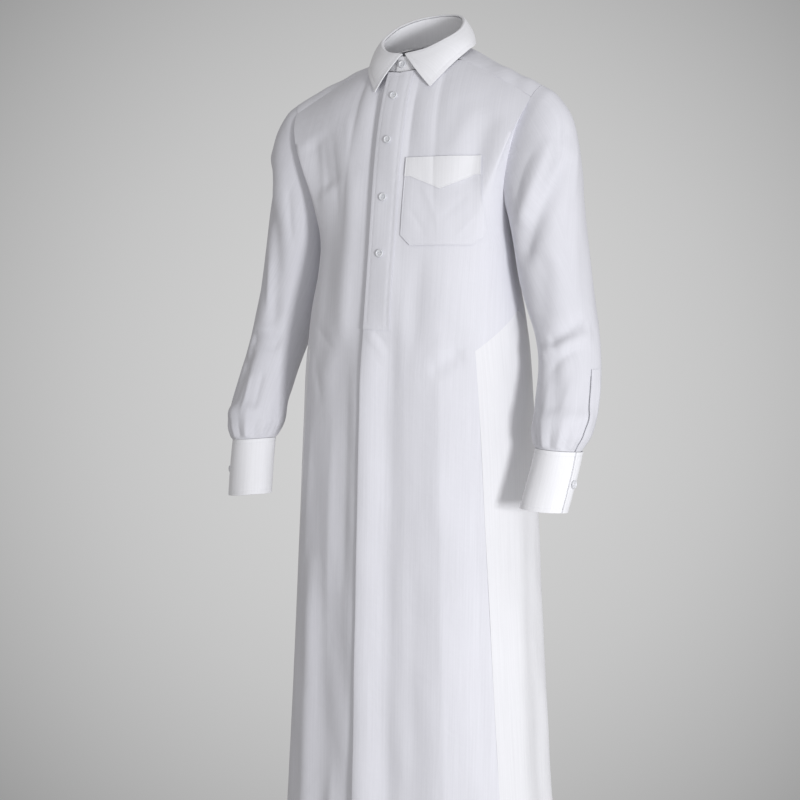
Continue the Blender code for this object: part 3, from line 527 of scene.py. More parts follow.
def shirting(name, colour, weave=0.22, crumple=0.35):
    """White plain weave: crossed threads 0.4 mm apart with slubs, faint crumples, and a dull nap."""
    material, nodes, links, shader, place = new_material(name)
    uv = nodes.new("ShaderNodeUVMap")
    uv.uv_map = "cloth"
    flat = uv.outputs["UV"]
    waves = []
    for direction in ("X", "Y"):
        wave = add_node(nodes, links, "TexWave", [("Vector", flat)], Scale=780.0, Distortion=1.2, Detail=1.0)
        wave.bands_direction = direction
        waves.append(wave.outputs["Fac"])
    threads = add_node(nodes, links, "Math", enumerate(waves))
    threads.operation = "MULTIPLY"
    slub = add_node(nodes, links, "Mapping", [("Vector", flat)], Scale=(900.0, 60.0, 1.0)).outputs["Vector"]
    slubs = add_node(nodes, links, "TexNoise", [("Vector", slub)], Scale=1.0, Detail=2.0).outputs["Fac"]
    thread_height = add_node(nodes, links, "Math", enumerate((threads.outputs["Value"], slubs)))
    heights = [("Height", thread_height.outputs["Value"])]
    fine = add_node(nodes, links, "Bump", heights, Strength=weave, Distance=0.00012)
    soft = add_node(nodes, links, "TexNoise", [("Vector", place)], Scale=26.0, Detail=4.0, Roughness=0.55,
                    Distortion=0.6)
    heights = [("Height", soft.outputs["Fac"]), ("Normal", fine.outputs["Normal"])]
    crumples = add_node(nodes, links, "Bump", heights, Strength=crumple, Distance=0.0022)
    links.new(crumples.outputs["Normal"], shader.inputs["Normal"])
    tone = add_node(nodes, links, "TexNoise", [("Vector", place)], Scale=7.0, Detail=3.0)
    streak = add_node(nodes, links, "Mapping", [("Vector", flat)], Scale=(420.0, 7.0, 1.0)).outputs["Vector"]
    streaks = add_node(nodes, links, "TexNoise", [("Vector", streak)], Scale=1.0, Detail=3.0)
    shades = [("A", tone.outputs["Fac"]), ("B", streaks.outputs["Fac"])]
    shade = add_node(nodes, links, "Mix", shades, Factor=0.6).outputs["Result"]
    deeper = [0.93 * c for c in colour]
    ramp = add_ramp(nodes, links, shade, deeper, colour, 0.32, 0.66)
    links.new(ramp.outputs["Color"], shader.inputs["Base Color"])
    rough = add_node(nodes, links, "MapRange", [("Value", slubs)], To_Min=0.78, To_Max=0.92)
    links.new(rough.outputs["Result"], shader.inputs["Roughness"])
    set_inputs(shader, Specular_IOR_Level=0.25, Sheen_Weight=0.12, Sheen_Roughness=0.5)
    return material


WHITE = (0.79, 0.79, 0.832)
# Painted shade: the sleeves get a deeper copy of the body's shirting.
SLEEVE_PAINTED_SHADE_WHITE = (0.73, 0.73, 0.77)
# Painted light: the gores get a whiter copy of the body's shirting, for sides that face the lamp.
GORE_PAINTED_LIGHT_WHITE = (0.85, 0.85, 0.868)
body_cloth = shirting("shirting_body", WHITE)

front_mid, slit_first, slit_last = front_surface()
end_row = UPPER_ROWS + int(np.argmin(np.abs(LOWER_Z - PLACKET_END_Z)))
front_normal = outward(front_mid)
front_shape = front_mid.copy()
pull_in(front_shape, ("top", "start", "end"))
raised = slice(slit_last, slit_last + PLACKET_TOP_COLUMNS)
down = unit(front_shape[1, raised] - front_shape[0, raised])
front_shape[0, raised] += PLACKET_TOP_DROP * down
front_keep = np.ones((front_mid.shape[0] - 1, front_mid.shape[1] - 1), bool)
front_keep[:end_row, slit_first:slit_last] = False
front_shape = front_shape + turn_up(front_shape)[..., None] * front_normal
front = sew("cloth_front", front_shape, body_cloth, keep=front_keep, normal=front_normal)
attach(front, "root")
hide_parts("front")

# BACK
# One length of the same shirting, set flat into the yoke and left to hang in soft flutes.

BACK_FOLDS = np.array([
    (0.055, -0.30, 0.062, -1.43, 0.024, 0.0060),
    (-0.060, -0.26, -0.070, -1.43, 0.026, 0.0055),
    (0.000, -0.36, 0.000, -1.43, 0.024, -0.0050),
    (0.120, -0.55, 0.135, -1.43, 0.024, -0.0045),
    (-0.125, -0.50, -0.140, -1.43, 0.024, -0.0045),
    (0.140, -0.16, 0.095, -0.27, 0.016, -0.0050),
    (-0.140, -0.16, -0.098, -0.25, 0.016, -0.0045),
])
BACK_CREASES = np.array([
    (0.150, -0.20, 0.120, -0.26, 0.105, -0.36, 0.0085, 0.0020),
    (-0.152, -0.21, -0.118, -0.27, -0.110, -0.38, 0.0085, 0.0022),
    (0.142, -0.28, 0.136, -0.33, 0.140, -0.40, 0.0080, -0.0022),
    (-0.145, -0.27, -0.138, -0.33, -0.141, -0.39, 0.0080, -0.0020),
    (0.028, -0.16, 0.030, -0.22, 0.024, -0.30, 0.0100, -0.0014),
    (-0.034, -0.15, -0.030, -0.20, -0.034, -0.28, 0.0100, 0.0012),
    (0.070, -0.33, 0.040, -0.36, 0.010, -0.37, 0.0110, -0.0016),
    (-0.080, -0.35, -0.045, -0.38, -0.012, -0.385, 0.0110, -0.0018),
    (0.118, -0.42, 0.095, -0.44, 0.080, -0.48, 0.0070, -0.0016),
    (-0.120, -0.43, -0.100, -0.45, -0.085, -0.50, 0.0070, -0.0018),
    (0.030, -0.50, 0.034, -0.80, 0.030, -1.20, 0.0120, -0.0024),
    (-0.030, -0.60, -0.036, -0.90, -0.034, -1.43, 0.0130, -0.0026),
    (0.092, -0.70, 0.098, -1.00, 0.100, -1.43, 0.0120, 0.0028),
    (-0.100, -0.62, -0.102, -0.95, -0.108, -1.43, 0.0120, 0.0026),
    (0.150, -0.90, 0.158, -1.15, 0.168, -1.43, 0.0110, 0.0030),
    (-0.152, -0.95, -0.160, -1.20, -0.170, -1.43, 0.0110, 0.0030),
])
BACK_WAY = np.array([
    (0.0, 0.00, 0.00, -1.00),
    (2.0, -0.16, 0.32, -0.93),
    (4.0, -0.22, 0.42, -0.88),
    (6.0, -0.10, 0.30, -0.95),
    (11.0, 0.00, 0.14, -0.99),
])
YOKE_CORNER_PSI = -70.5


def yoke_back_seam(part):
    """Back edge of the yoke, part 0 in the middle and 1 at the left armhole."""
    corner = armhole(np.array(YOKE_CORNER_PSI))
    y = 0.105 + (corner[1] - 0.105) * part ** 2.2
    z = -0.100 + (corner[2] + 0.100) * part ** 2
    return np.stack([corner[0] * part, y, z], axis=-1)


def back_surface():
    """Back below the yoke, in columns from the left side round to the right."""
    arm = np.linspace(0.0, 6.0, 31)[:-1]
    seam = np.linspace(6.0, 11.0, 29)
    psi = -180.0 + arm / 6.0 * (180.0 + YOKE_CORNER_PSI)
    top = np.concatenate([armhole(psi), yoke_back_seam((11.0 - seam) / 5.0)])
    place = np.concatenate([arm, seam])
    way = curve(BACK_WAY[:, 0], BACK_WAY[:, 1:], place)
    chest = np.interp(place, [0.0, 6.0, 11.0], [90.0, 55.0, 0.0])
    angle = 180.0 - chest * (gore_angle() / 90.0)[:, None]
    lower = body(angle, LOWER_Z[:, None])
    t = np.linspace(0.0, 1.0, UPPER_ROWS + 1)[:-1]
    upper = hang(top, lower[0], unit(way), unit(lower[1] - lower[0]), t)
    left = np.concatenate([upper, lower])
    base = np.concatenate([left, mirrored(left)[:, 1:]], axis=1)
    x = base[..., 0]
    z = base[..., 2]
    height = folds(x, z, BACK_FOLDS) + creases(x, z, BACK_CREASES) + ripple(x, z, 0.0006, 9)
    return base + height[..., None] * outward(base)


back_mid = back_surface()
back_shape = back_mid.copy()
pull_in(back_shape, ("top", "start", "end"))
back_shape = back_shape + turn_up(back_shape)[..., None] * outward(back_mid)
back = sew("cloth_back", back_shape, body_cloth)
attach(back, "root")
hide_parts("back")

# SIDE GORES
# Narrow wedges let into the side seams below the waist, pointed at the top and widest at the hem, in the
# same shirting; their whiter colour is painted light, where the sides face the lamp.

GORE_FOLDS = np.array([
    (0.004, -0.55, 0.000, -1.43, 0.018, -0.0030),
    (-0.034, -0.80, -0.040, -1.43, 0.016, 0.0032),
    (0.036, -0.90, 0.044, -1.43, 0.016, 0.0028),
])


def gore_surface():
    """Left gore: the body surface between the front and back edges of the gore."""
    edge = gore_angle()[GORE_ROW:]
    part = np.linspace(0.0, 1.0, 28)
    angle = edge[:, None] + part * (180.0 - 2 * edge)[:, None]
    mid = body(angle, LOWER_Z[GORE_ROW:, None])
    inside = ease(4 * part) * ease(4 - 4 * part)
    y = mid[..., 1]
    z = mid[..., 2]
    height = inside * (folds(y, z, GORE_FOLDS) + ripple(y, z, 0.0005, 3))
    return mid + height[..., None] * outward(mid)


# Painted light: a whiter copy of the same shirting stands in for the brightly lit sides.
gore_painted_light_cloth = shirting("shirting_gore_painted_light", GORE_PAINTED_LIGHT_WHITE)
gore_mid = gore_surface()
for side_name in ("left", "right"):
    shape = gore_mid.copy() if side_name == "left" else mirrored(gore_mid)
    pull_in(shape, ("top", "start", "end"))
    shape = shape + turn_up(shape)[..., None] * outward(shape)
    gore = sew(f"cloth_gore_{side_name}", shape, gore_painted_light_cloth)
    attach(gore, "root")
    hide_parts(f"side_gore_{side_name}")

# YOKE
# One piece over both shoulders and the nape, with its grain across the back.

# Yoke: angle on the neckline, direction it leaves the neck, direction it reaches its outer edge.
YOKE_WAY = np.array([
    (69.5, 0.92, -0.08, -0.38, 0.86, -0.10, -0.50),
    (97.0, 0.93, -0.04, -0.34, 0.85, -0.05, -0.52),
    (125.0, 0.86, 0.30, -0.42, 0.50, -0.05, -0.86),
    (152.0, 0.45, 0.60, -0.66, 0.22, 0.08, -0.97),
    (180.0, 0.00, 0.66, -0.75, 0.00, 0.10, -0.99),
])
YOKE_ANGLES = np.array([69.5, 79.0, 88.0, 97.0, 106.0, 115.0, 125.0])
YOKE_PSI = np.array([36.0, 22.0, 4.0, -14.0, -32.0, -51.0, YOKE_CORNER_PSI])
YOKE_CORNER = 36


def yoke_surface():
    """Yoke: rows from the neck outwards, columns from the left front seam round the nape to the right."""
    side = np.linspace(69.5, 125.0, YOKE_CORNER + 1)
    nape = np.linspace(125.0, 180.0, 33)[1:]
    seam = yoke_back_seam((180.0 - nape) / 55.0)
    outer = np.concatenate([armhole(np.interp(side, YOKE_ANGLES, YOKE_PSI)), seam])
    angles = np.concatenate([side, nape])
    ways = curve(YOKE_WAY[:, 0], YOKE_WAY[:, 1:], angles)
    t = np.linspace(0.0, 1.0, 45)
    half = hang(neckline(angles), outer, unit(ways[:, :3]), unit(ways[:, 3:]), t)
    mid = np.concatenate([half, mirrored(half)[:, 1:]], axis=1)
    inside = ease(5 * t) * ease(5 - 5 * t)
    height = inside[:, None] * ripple(mid[..., 0], mid[..., 1], 0.0005, 6)
    return mid + height[..., None] * outward(mid)


yoke_shape = yoke_surface()
pull_in(yoke_shape, ("top", "bottom", "start", "end"))
yoke = sew("cloth_yoke", yoke_shape, body_cloth)
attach(yoke, "root")
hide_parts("yoke")

# SLEEVES
# One tube each, eased into the armhole, slit above the cuff on its outer side and gathered a little into the
# cuff. The slightly deeper white is painted shade on the same shirting. The arms hang down, so the cloth
# buckles at the elbow.

# Sleeve rings: outer x, outer z, inner x, inner z, centre y, half depth.
SLEEVE = np.array([
    (0.2050, -0.065, 0.1520, -0.245, 0.002, 0.043),
    (0.2240, -0.078, 0.1565, -0.257, 0.003, 0.050),
    (0.2430, -0.108, 0.1590, -0.272, 0.006, 0.056),
    (0.2515, -0.155, 0.1615, -0.292, 0.010, 0.059),
    (0.2555, -0.215, 0.1650, -0.318, 0.013, 0.059),
    (0.2615, -0.275, 0.1710, -0.345, 0.013, 0.058),
    (0.2725, -0.345, 0.1830, -0.378, 0.009, 0.055),
    (0.2860, -0.415, 0.1990, -0.420, 0.003, 0.050),
    (0.2955, -0.470, 0.2100, -0.465, -0.012, 0.047),
    (0.3000, -0.520, 0.2140, -0.512, -0.032, 0.045),
    (0.2980, -0.552, 0.2150, -0.545, -0.044, 0.043),
    (0.2905, -0.568, 0.2200, -0.562, -0.050, 0.037),
    (0.2860, -0.576, 0.2235, -0.571, -0.052, 0.033),
])
SLEEVE_ARC = 0.055
SLIT_PSI = 22.0
SLIT_TOP_Z = -0.475

# Main folds: armhole angle and z of one end, of the other, half width, height.
SLEEVE_FOLDS = {
    "left": np.array([
        (25.0, -0.17, 115.0, -0.31, 0.015, -0.0088),
        (45.0, -0.15, 110.0, -0.26, 0.011, 0.0054),
        (75.0, -0.31, 95.0, -0.39, 0.020, -0.0030),
        (20.0, -0.415, 120.0, -0.445, 0.010, 0.0050),
        (30.0, -0.40, 95.0, -0.43, 0.012, -0.0060),
        (95.0, -0.46, 85.0, -0.52, 0.016, -0.0024),
        (10.0, -0.53, 120.0, -0.535, 0.012, 0.0035),
        (-60.0, -0.20, -130.0, -0.33, 0.016, -0.0060),
        (-60.0, -0.41, -140.0, -0.43, 0.014, -0.0055),
        (-80.0, -0.50, -150.0, -0.53, 0.014, -0.0040),
    ]),
    "right": np.array([
        (20.0, -0.16, 75.0, -0.27, 0.016, -0.0065),
        (75.0, -0.27, 105.0, -0.40, 0.014, -0.0060),
        (50.0, -0.20, 90.0, -0.36, 0.014, 0.0040),
        (60.0, -0.425, 130.0, -0.43, 0.012, -0.0050),
        (70.0, -0.44, 60.0, -0.52, 0.014, -0.0045),
        (40.0, -0.535, 130.0, -0.53, 0.012, 0.0045),
        (-60.0, -0.19, -130.0, -0.34, 0.016, -0.0060),
        (-60.0, -0.42, -140.0, -0.44, 0.014, -0.0055),
        (-80.0, -0.50, -150.0, -0.525, 0.014, -0.0040),
    ]),
}

# Finer creases: armhole angle and z of the start, the bend and the end, half width, height.
SLEEVE_CREASES = {
    "left": np.array([
        (8.0, -0.120, 30.0, -0.150, 62.0, -0.172, 0.0060, -0.0022),
        (-5.0, -0.135, 5.0, -0.19, 20.0, -0.235, 0.0070, 0.0018),
        (62.0, -0.150, 96.0, -0.190, 118.0, -0.240, 0.0060, -0.0024),
        (-15.0, -0.372, 60.0, -0.432, 124.0, -0.446, 0.0065, 0.0022),
        (40.0, -0.225, 44.0, -0.28, 38.0, -0.340, 0.0120, -0.0012),
        (5.0, -0.270, 12.0, -0.33, 25.0, -0.385, 0.0110, -0.0012),
        (15.0, -0.400, 50.0, -0.412, 80.0, -0.405, 0.0060, 0.0012),
        (40.0, -0.432, 75.0, -0.445, 108.0, -0.470, 0.0055, -0.0026),
        (55.0, -0.475, 70.0, -0.500, 76.0, -0.535, 0.0080, 0.0013),
        (100.0, -0.475, 108.0, -0.505, 102.0, -0.540, 0.0080, 0.0013),
        (30.0, -0.470, 42.0, -0.505, 48.0, -0.545, 0.0080, -0.0012),
        (2.0, -0.470, -4.0, -0.510, 2.0, -0.548, 0.0060, 0.0020),
        (-30.0, -0.17, -45.0, -0.23, -80.0, -0.27, 0.0070, 0.0020),
        (-30.0, -0.40, -60.0, -0.395, -110.0, -0.41, 0.0060, 0.0026),
        (-50.0, -0.46, -60.0, -0.49, -55.0, -0.54, 0.0065, -0.0024),
        (-110.0, -0.47, -120.0, -0.50, -118.0, -0.54, 0.0065, 0.0022),
    ]),
    "right": np.array([
        (10.0, -0.120, 30.0, -0.150, 55.0, -0.165, 0.0060, 0.0020),
        (35.0, -0.150, 52.0, -0.200, 55.0, -0.260, 0.0060, -0.0022),
        (92.0, -0.180, 108.0, -0.230, 112.0, -0.290, 0.0065, -0.0024),
        (65.0, -0.290, 82.0, -0.340, 86.0, -0.390, 0.0060, 0.0026),
        (30.0, -0.290, 38.0, -0.340, 50.0, -0.395, 0.0075, -0.0022),
        (45.0, -0.405, 80.0, -0.412, 112.0, -0.405, 0.0055, 0.0028),
        (30.0, -0.445, 60.0, -0.455, 88.0, -0.480, 0.0055, -0.0024),
        (88.0, -0.470, 96.0, -0.500, 92.0, -0.540, 0.0055, 0.0026),
        (112.0, -0.465, 120.0, -0.500, 116.0, -0.545, 0.0060, -0.0022),
        (38.0, -0.480, 44.0, -0.510, 40.0, -0.545, 0.0060, -0.0022),
        (-30.0, -0.18, -50.0, -0.24, -85.0, -0.28, 0.0070, 0.0020),
        (-30.0, -0.41, -60.0, -0.40, -110.0, -0.42, 0.0060, 0.0024),
        (-55.0, -0.47, -62.0, -0.50, -58.0, -0.54, 0.0065, -0.0024),
    ]),
}

# Small gathers above the cuff: armhole angle, height. Each is a short upright fold.
GATHERS = np.array([
    (-150.0, 0.0018), (-128.0, -0.0016), (-96.0, 0.0014), (-70.0, -0.0018), (-38.0, 0.0016), (-16.0, -0.0012),
    (36.0, 0.0018), (52.0, -0.0022), (68.0, 0.0020), (86.0, -0.0018), (104.0, 0.0022), (124.0, -0.0016),
    (142.0, 0.0018), (164.0, -0.0014),
])


def ring_points(row, psi):
    """Tilted ring through an outer and an inner point, with its own half depth."""
    outer_x, outer_z, inner_x, inner_z, y, depth = np.moveaxis(row, -1, 0)[..., None]
    c = np.cos(np.radians(psi))
    x = 0.5 * (outer_x + inner_x) + 0.5 * (outer_x - inner_x) * c
    z = 0.5 * (outer_z + inner_z) + 0.5 * (outer_z - inner_z) * c
    return np.stack([x, y - depth * np.sin(np.radians(psi)), z], axis=-1)


def sleeve_surface(side_name, psi, along):
    """Left sleeve from the armhole to the cuff seam, with the folds of the named side."""
    mid = ring_points(curve(np.arange(len(SLEEVE), dtype=float), SLEEVE, along), psi)
    away = 0.0008 - 0.0003 * np.cos(np.radians(psi))
    seam = armhole(psi) + np.array([1.0, 0.0, 0.0]) * away[:, None]
    mid = mid + (seam - mid[0]) * (1 - ease(along / 3.0))[:, None, None]
    arc = (psi + 180.0) % 360.0 - 180.0
    scale = np.pi / 180.0 * SLEEVE_ARC
    main = SLEEVE_FOLDS[side_name] * (scale, 1.0, scale, 1.0, 1.0, 1.0)
    fine = SLEEVE_CREASES[side_name] * (scale, 1.0, scale, 1.0, scale, 1.0, 1.0, 1.0)
    a = arc * scale
    z = mid[..., 2]
    seed = 12 if side_name == "left" else 15
    height = folds(a, z, main) + creases(a, z, fine) + ripple(a, z, 0.0005, seed)
    height = height * (ease(along / 2.5) * ease((12.0 - along) / 1.5))[:, None]
    gather = np.exp(-((arc[:, None] - GATHERS[:, 0]) / 6.0) ** 2) @ GATHERS[:, 1]
    height = height + gather * (ease((along - 8.6) / 2.2) * ease((12.0 - along) / 0.9))[:, None]
    return mid + height[..., None] * outward(mid, ring=True)


SLIT_GAP = 0.45
SLEEVE_PSI = np.concatenate([
    np.linspace(36.0, SLIT_PSI + SLIT_GAP, 6),
    np.linspace(SLIT_PSI - SLIT_GAP, -321.0, 126),
])
SLEEVE_ALONG = np.concatenate([np.linspace(0.0, 9.0, 108), np.linspace(9.0, 12.0, 32)[1:]])
SLIT_CELL = 5
# Painted shade: the sleeves and their strips use a deeper copy of the same shirting.
sleeve_painted_shade_cloth = shirting("shirting_sleeve_painted_shade", SLEEVE_PAINTED_SHADE_WHITE)
sleeve_grids = {}
for side_name in ("left", "right"):
    mid = sleeve_surface(side_name, SLEEVE_PSI, SLEEVE_ALONG)
    sleeve_grids[side_name] = mid
    keep = np.ones((mid.shape[0] - 1, mid.shape[1]), bool)
    keep[mid[1:, SLIT_CELL, 2] < SLIT_TOP_Z, SLIT_CELL] = False
    if side_name == "right":
        mid = mirrored(mid)
        keep = np.roll(keep[:, ::-1], -1, axis=1)
    sleeve = sew(f"cloth_sleeve_{side_name}", mid, sleeve_painted_shade_cloth, keep=keep, ring=True)
    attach(sleeve, "root")
    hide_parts(f"sleeve_{side_name}")

# SLEEVE PLACKETS
# A narrow strip stitched along the slit, over its front edge.

STRIP_WALL = 0.0009
STRIP_LIFT = 0.00185
strip_mids = {}
for side_name in ("left", "right"):
    grid = sleeve_grids[side_name]
    low = int(np.argmax(grid[:, SLIT_CELL, 2] < SLIT_TOP_Z)) - 3
    columns = np.flatnonzero((SLEEVE_PSI <= SLIT_PSI - 0.4) & (SLEEVE_PSI >= -0.5))
    normal = outward(grid, ring=True)[low:, columns]
    mid = grid[low:, columns] + STRIP_LIFT * normal
    pull_in(mid, ("bottom",), 0.0012)
    if side_name == "right":
        mid = mirrored(mid)
        normal = mirrored(normal)
    strip_mids[side_name] = mid
    strip = sew(f"cloth_sleeve_strip_{side_name}", mid, sleeve_painted_shade_cloth, STRIP_WALL, normal=normal)
    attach(strip, "root")
    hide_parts(f"sleeve_placket_{side_name}")

# CUFFS
# Stiffened double cloth, buttoned round the wrist, with a row of stitching 6 mm inside each edge.

STIFF_WALL = 0.0016
STITCH_INSET = 0.006
OVERLAP_LIFT = 0.0022
CUFF = np.array([
    (0.2860, -0.5768, 0.2235, -0.5718, -0.0522, 0.0330),
    (0.2830, -0.605, 0.2205, -0.600, -0.0605, 0.0325),
    (0.2790, -0.632, 0.2165, -0.627, -0.0690, 0.0320),
    (0.2750, -0.658, 0.2125, -0.653, -0.0770, 0.0315),
])
stiff_cloth = shirting("shirting_stiff", (0.90, 0.90, 0.92), weave=0.18, crumple=0.22)


def edge_distance(mid):
    """Distance of each grid point from the nearest edge of the grid."""
    u, v = arc_lengths(mid)
    u = u - u[:, :1]
    return np.minimum(np.minimum(u, u[:, -1:] - u), np.minimum(v, v[-1:] - v))


def sunk_seam(mid, inset=STITCH_INSET, depth=0.00035, width=0.0014):
    """Dip along the stitching, uneven along it: depth * exp(-((distance - inset) / width) ** 2)."""
    u, v = arc_lengths(mid)
    uneven = 1 + 0.35 * np.sin(310.0 * (u + v)) + 0.25 * np.sin(730.0 * (u - 0.7 * v))
    return -depth * uneven * np.exp(-((edge_distance(mid) - inset) / width) ** 2)


def cuff_surface(psi, along):
    """Left cuff: its free end starts over the slit and its other end runs on beneath."""
    lift = OVERLAP_LIFT * ease((psi + 55.0) / 47.0)
    mid = ring_points(curve(np.arange(len(CUFF), dtype=float), CUFF, along), psi)
    bend = 0.0011 * np.sin(np.radians(3 * psi + 40.0)) * np.sin(0.5 * np.pi * along / 3.0)[:, None]
    return mid + (lift + bend)[..., None] * outward(mid)


CUFF_PSI = np.linspace(18.0, -366.0, 160)
cuff_mid = cuff_surface(CUFF_PSI, np.linspace(0.0, 3.0, 48))
cuff_normal = outward(cuff_mid)
cuff_shape = cuff_mid + sunk_seam(cuff_mid)[..., None] * cuff_normal
for side_name in ("left", "right"):
    shape = cuff_shape if side_name == "left" else mirrored(cuff_shape)
    cuff = sew(f"cloth_cuff_{side_name}", shape, stiff_cloth, STIFF_WALL)
    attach(cuff, "root")
    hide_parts(f"cuff_{side_name}")

# COLLAR STAND
# A stiffened band round the neck, its ends overlapped and buttoned in front.

FOLD_RX = 0.060
FOLD_RY = 0.054
STAND_STITCH = 0.003
STAND_ANGLES = np.linspace(9.0, -369.0, 230)


def stand_surface(angle, t):
    """Stand: its under end starts left of the middle, goes round, and ends on top right of the middle."""
    inward = OVERLAP_LIFT * ease((angle + 40.0) / 31.0)
    turn = np.radians(angle)
    rx = NECK_RX + t[:, None] * (FOLD_RX - NECK_RX) - inward
    ry = NECK_RY + t[:, None] * (FOLD_RY - NECK_RY) - inward
    low = neck_height(angle, 1) + 0.0010
    z = low + t[:, None] * (neck_height(angle, 2) - low)
    mid = np.stack([rx * np.sin(turn), NECK_Y - ry * np.cos(turn), z], axis=-1)
    return mid[::-1, ::-1]


stand_mid = stand_surface(STAND_ANGLES, np.linspace(0.0, 1.0, 26))
stand_normal = outward(stand_mid)
stand_shape = stand_mid + sunk_seam(stand_mid, STAND_STITCH, 0.0002, 0.0012)[..., None] * stand_normal
stand = sew("cloth_collar_stand", stand_shape, stiff_cloth, STIFF_WALL)
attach(stand, "root")
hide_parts("collar_stand")

# COLLAR
# Stiffened fall, turned down over the stand, with two plain points and edge stitching.

FALL_SWELL = 0.004

# Outer edge of the fall on each side, from the middle of the nape to the point: x, y, z.
FALL = {
    "left": np.array([
        (0.000, 0.093, 0.021),
        (0.038, 0.086, 0.019),
        (0.063, 0.063, 0.015),
        (0.077, 0.034, 0.007),
        (0.079, 0.008, -0.005),
        (0.070, -0.024, -0.029),
        (0.053, -0.055, -0.062),
    ]),
    "right": np.array([
        (0.000, 0.093, 0.021),
        (-0.038, 0.086, 0.019),
        (-0.063, 0.063, 0.015),
        (-0.077, 0.034, 0.007),
        (-0.078, 0.008, -0.005),
        (-0.065, -0.030, -0.029),
        (-0.039, -0.055, -0.064),
    ]),
}


def fall_half(side_name, c, t):
    """One side of the fall: columns from the nape to the front end, rows from the fold outwards."""
    edge_rows = FALL[side_name]
    side = 1.0 if side_name == "left" else -1.0
    turn = np.radians(side * (180.0 - 177.0 * c))
    edge = curve(np.linspace(0.0, 1.0, len(edge_rows)), edge_rows, c)
    away = unit(np.stack([np.sin(turn), -np.cos(turn), 0 * turn], axis=-1))
    rows = []
    for out, up in ((0.0, 0.0016), (0.0016, 0.0029), (0.0042, 0.0022)):
        x = (FOLD_RX + out) * np.sin(turn)
        y = NECK_Y - (FOLD_RY + out) * np.cos(turn)
        rows.append(np.stack([x, y, neck_height(np.degrees(turn), 2) + up], axis=-1))
    for part in (0.2, 0.4, 0.6, 0.8, 1.0):
        rows.append(rows[2] * (1 - part) + edge * part + FALL_SWELL * np.sin(np.pi * part) * away)
    return curve(np.arange(8.0), np.array(rows), 7.0 * t)


def fall_surface():
    c = np.linspace(0.0, 1.0, 105)
    t = np.linspace(0.0, 1.0, 54)
    left = fall_half("left", c, t)
    right = fall_half("right", c, t)
    return np.concatenate([right[:, ::-1], left[:, 1:]], axis=1)[:, ::-1]


fall_mid = fall_surface()
fall_normal = outward(fall_mid)
fall_shape = fall_mid + sunk_seam(fall_mid)[..., None] * fall_normal
fall = sew("cloth_collar", fall_shape, stiff_cloth, STIFF_WALL)
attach(fall, "root")
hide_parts("collar")

# PLACKETS
# A 4 cm band down the left front edge, stitched along both edges and boxed off above its end, and a
# plain facing on the right edge beneath it.

BAND_WALL = 0.0009
PLACKET_LIFT = 0.00145
UNDER_LIFT = 0.0013
UNDER_WALL = 0.0008
UNDER_COLUMNS = 18
PLACKET_COLUMNS = 21
PLACKET_MIDDLE = 18
BOX_STITCH_Z = -0.370
PLACKET_STITCH = 0.005


def finer(grid, rows, columns):
    """The same surface with another number of rows and columns."""
    grid = curve(np.arange(float(len(grid))), grid, np.linspace(0.0, len(grid) - 1.0, rows))
    turned = np.swapaxes(grid, 0, 1)
    turned = curve(np.arange(float(len(turned))), turned, np.linspace(0.0, len(turned) - 1.0, columns))
    return np.swapaxes(turned, 0, 1)


over = slice(slit_last, slit_last + PLACKET_COLUMNS)
placket_mid = front_mid[:end_row + 1, over] + PLACKET_LIFT * front_normal[:end_row + 1, over]
pull_in(placket_mid, ("top",), 0.0040)
placket_mid = finer(placket_mid, 250, 36)
box_line = -0.0003 * np.exp(-((placket_mid[..., 2] - BOX_STITCH_Z) / 0.0015) ** 2)
dip = sunk_seam(placket_mid, PLACKET_STITCH, 0.0003) + box_line
placket_shape = placket_mid + dip[..., None] * outward(placket_mid)
placket = sew("cloth_placket", placket_shape, body_cloth, BAND_WALL)
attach(placket, "root")
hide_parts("placket")

below = slice(slit_first - UNDER_COLUMNS, slit_first)
under_mid = front_mid[:end_row + 1, below] + UNDER_LIFT * front_normal[:end_row + 1, below]
pull_in(under_mid, ("top",), 0.004)
under = sew("cloth_placket_under", under_mid, body_cloth, UNDER_WALL)
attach(under, "root")
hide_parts("placket_under")

# POCKET
# A patch of the same shirting on the wearer's left chest with clipped lower corners, and along its mouth
# a facing whose lower edge dips to a point.

POCKET_X = (0.029, 0.140)
POCKET_Z = (-0.165, -0.291)
POCKET_CHAMFER = 0.015
POCKET_LIFT = 0.00245
BAND_DEPTH = 0.027
BAND_POINT = 0.046
BAND_LIFT = 0.0039
POCKET_STITCH = 0.0022
POCKET_CREASES = np.array([
    (0.050, -0.200, 0.075, -0.225, 0.085, -0.280, 0.0060, 0.0007),
    (0.128, -0.215, 0.105, -0.235, 0.080, -0.262, 0.0050, -0.0006),
    (0.036, -0.235, 0.055, -0.255, 0.066, -0.284, 0.0050, -0.0006),
    (0.134, -0.245, 0.118, -0.262, 0.104, -0.284, 0.0045, 0.0006),
])


def read_panel(panel, x, z):
    """Panel points at given x and z: each column is read at height z, then the columns are blended at x."""
    columns = []
    for column in np.moveaxis(panel, 1, 0):
        columns.append([np.interp(-z, -column[:, 2], column[:, k]) for k in (0, 1)])
    columns = np.array(columns)
    right = np.clip((columns[:, 0] <= x).sum(axis=0), 1, len(columns) - 1)[None]
    x0, x1 = (np.take_along_axis(columns[:, 0], right - k, 0)[0] for k in (1, 0))
    y0, y1 = (np.take_along_axis(columns[:, 1], right - k, 0)[0] for k in (1, 0))
    return np.stack([x, y0 + (y1 - y0) * (x - x0) / (x1 - x0), z], axis=-1)


def pocket_outline(across, down):
    """x and z of a patch whose lower corners are cut off at 45 degrees."""
    a, d = np.meshgrid(across, down)
    width = POCKET_X[1] - POCKET_X[0]
    depth = POCKET_Z[0] - POCKET_Z[1]
    corner = np.clip(1 - np.minimum(a, 1 - a) * width / POCKET_CHAMFER, 0.0, 1.0)
    return POCKET_X[0] + a * width, POCKET_Z[0] - d * depth * (1 - POCKET_CHAMFER / depth * corner)


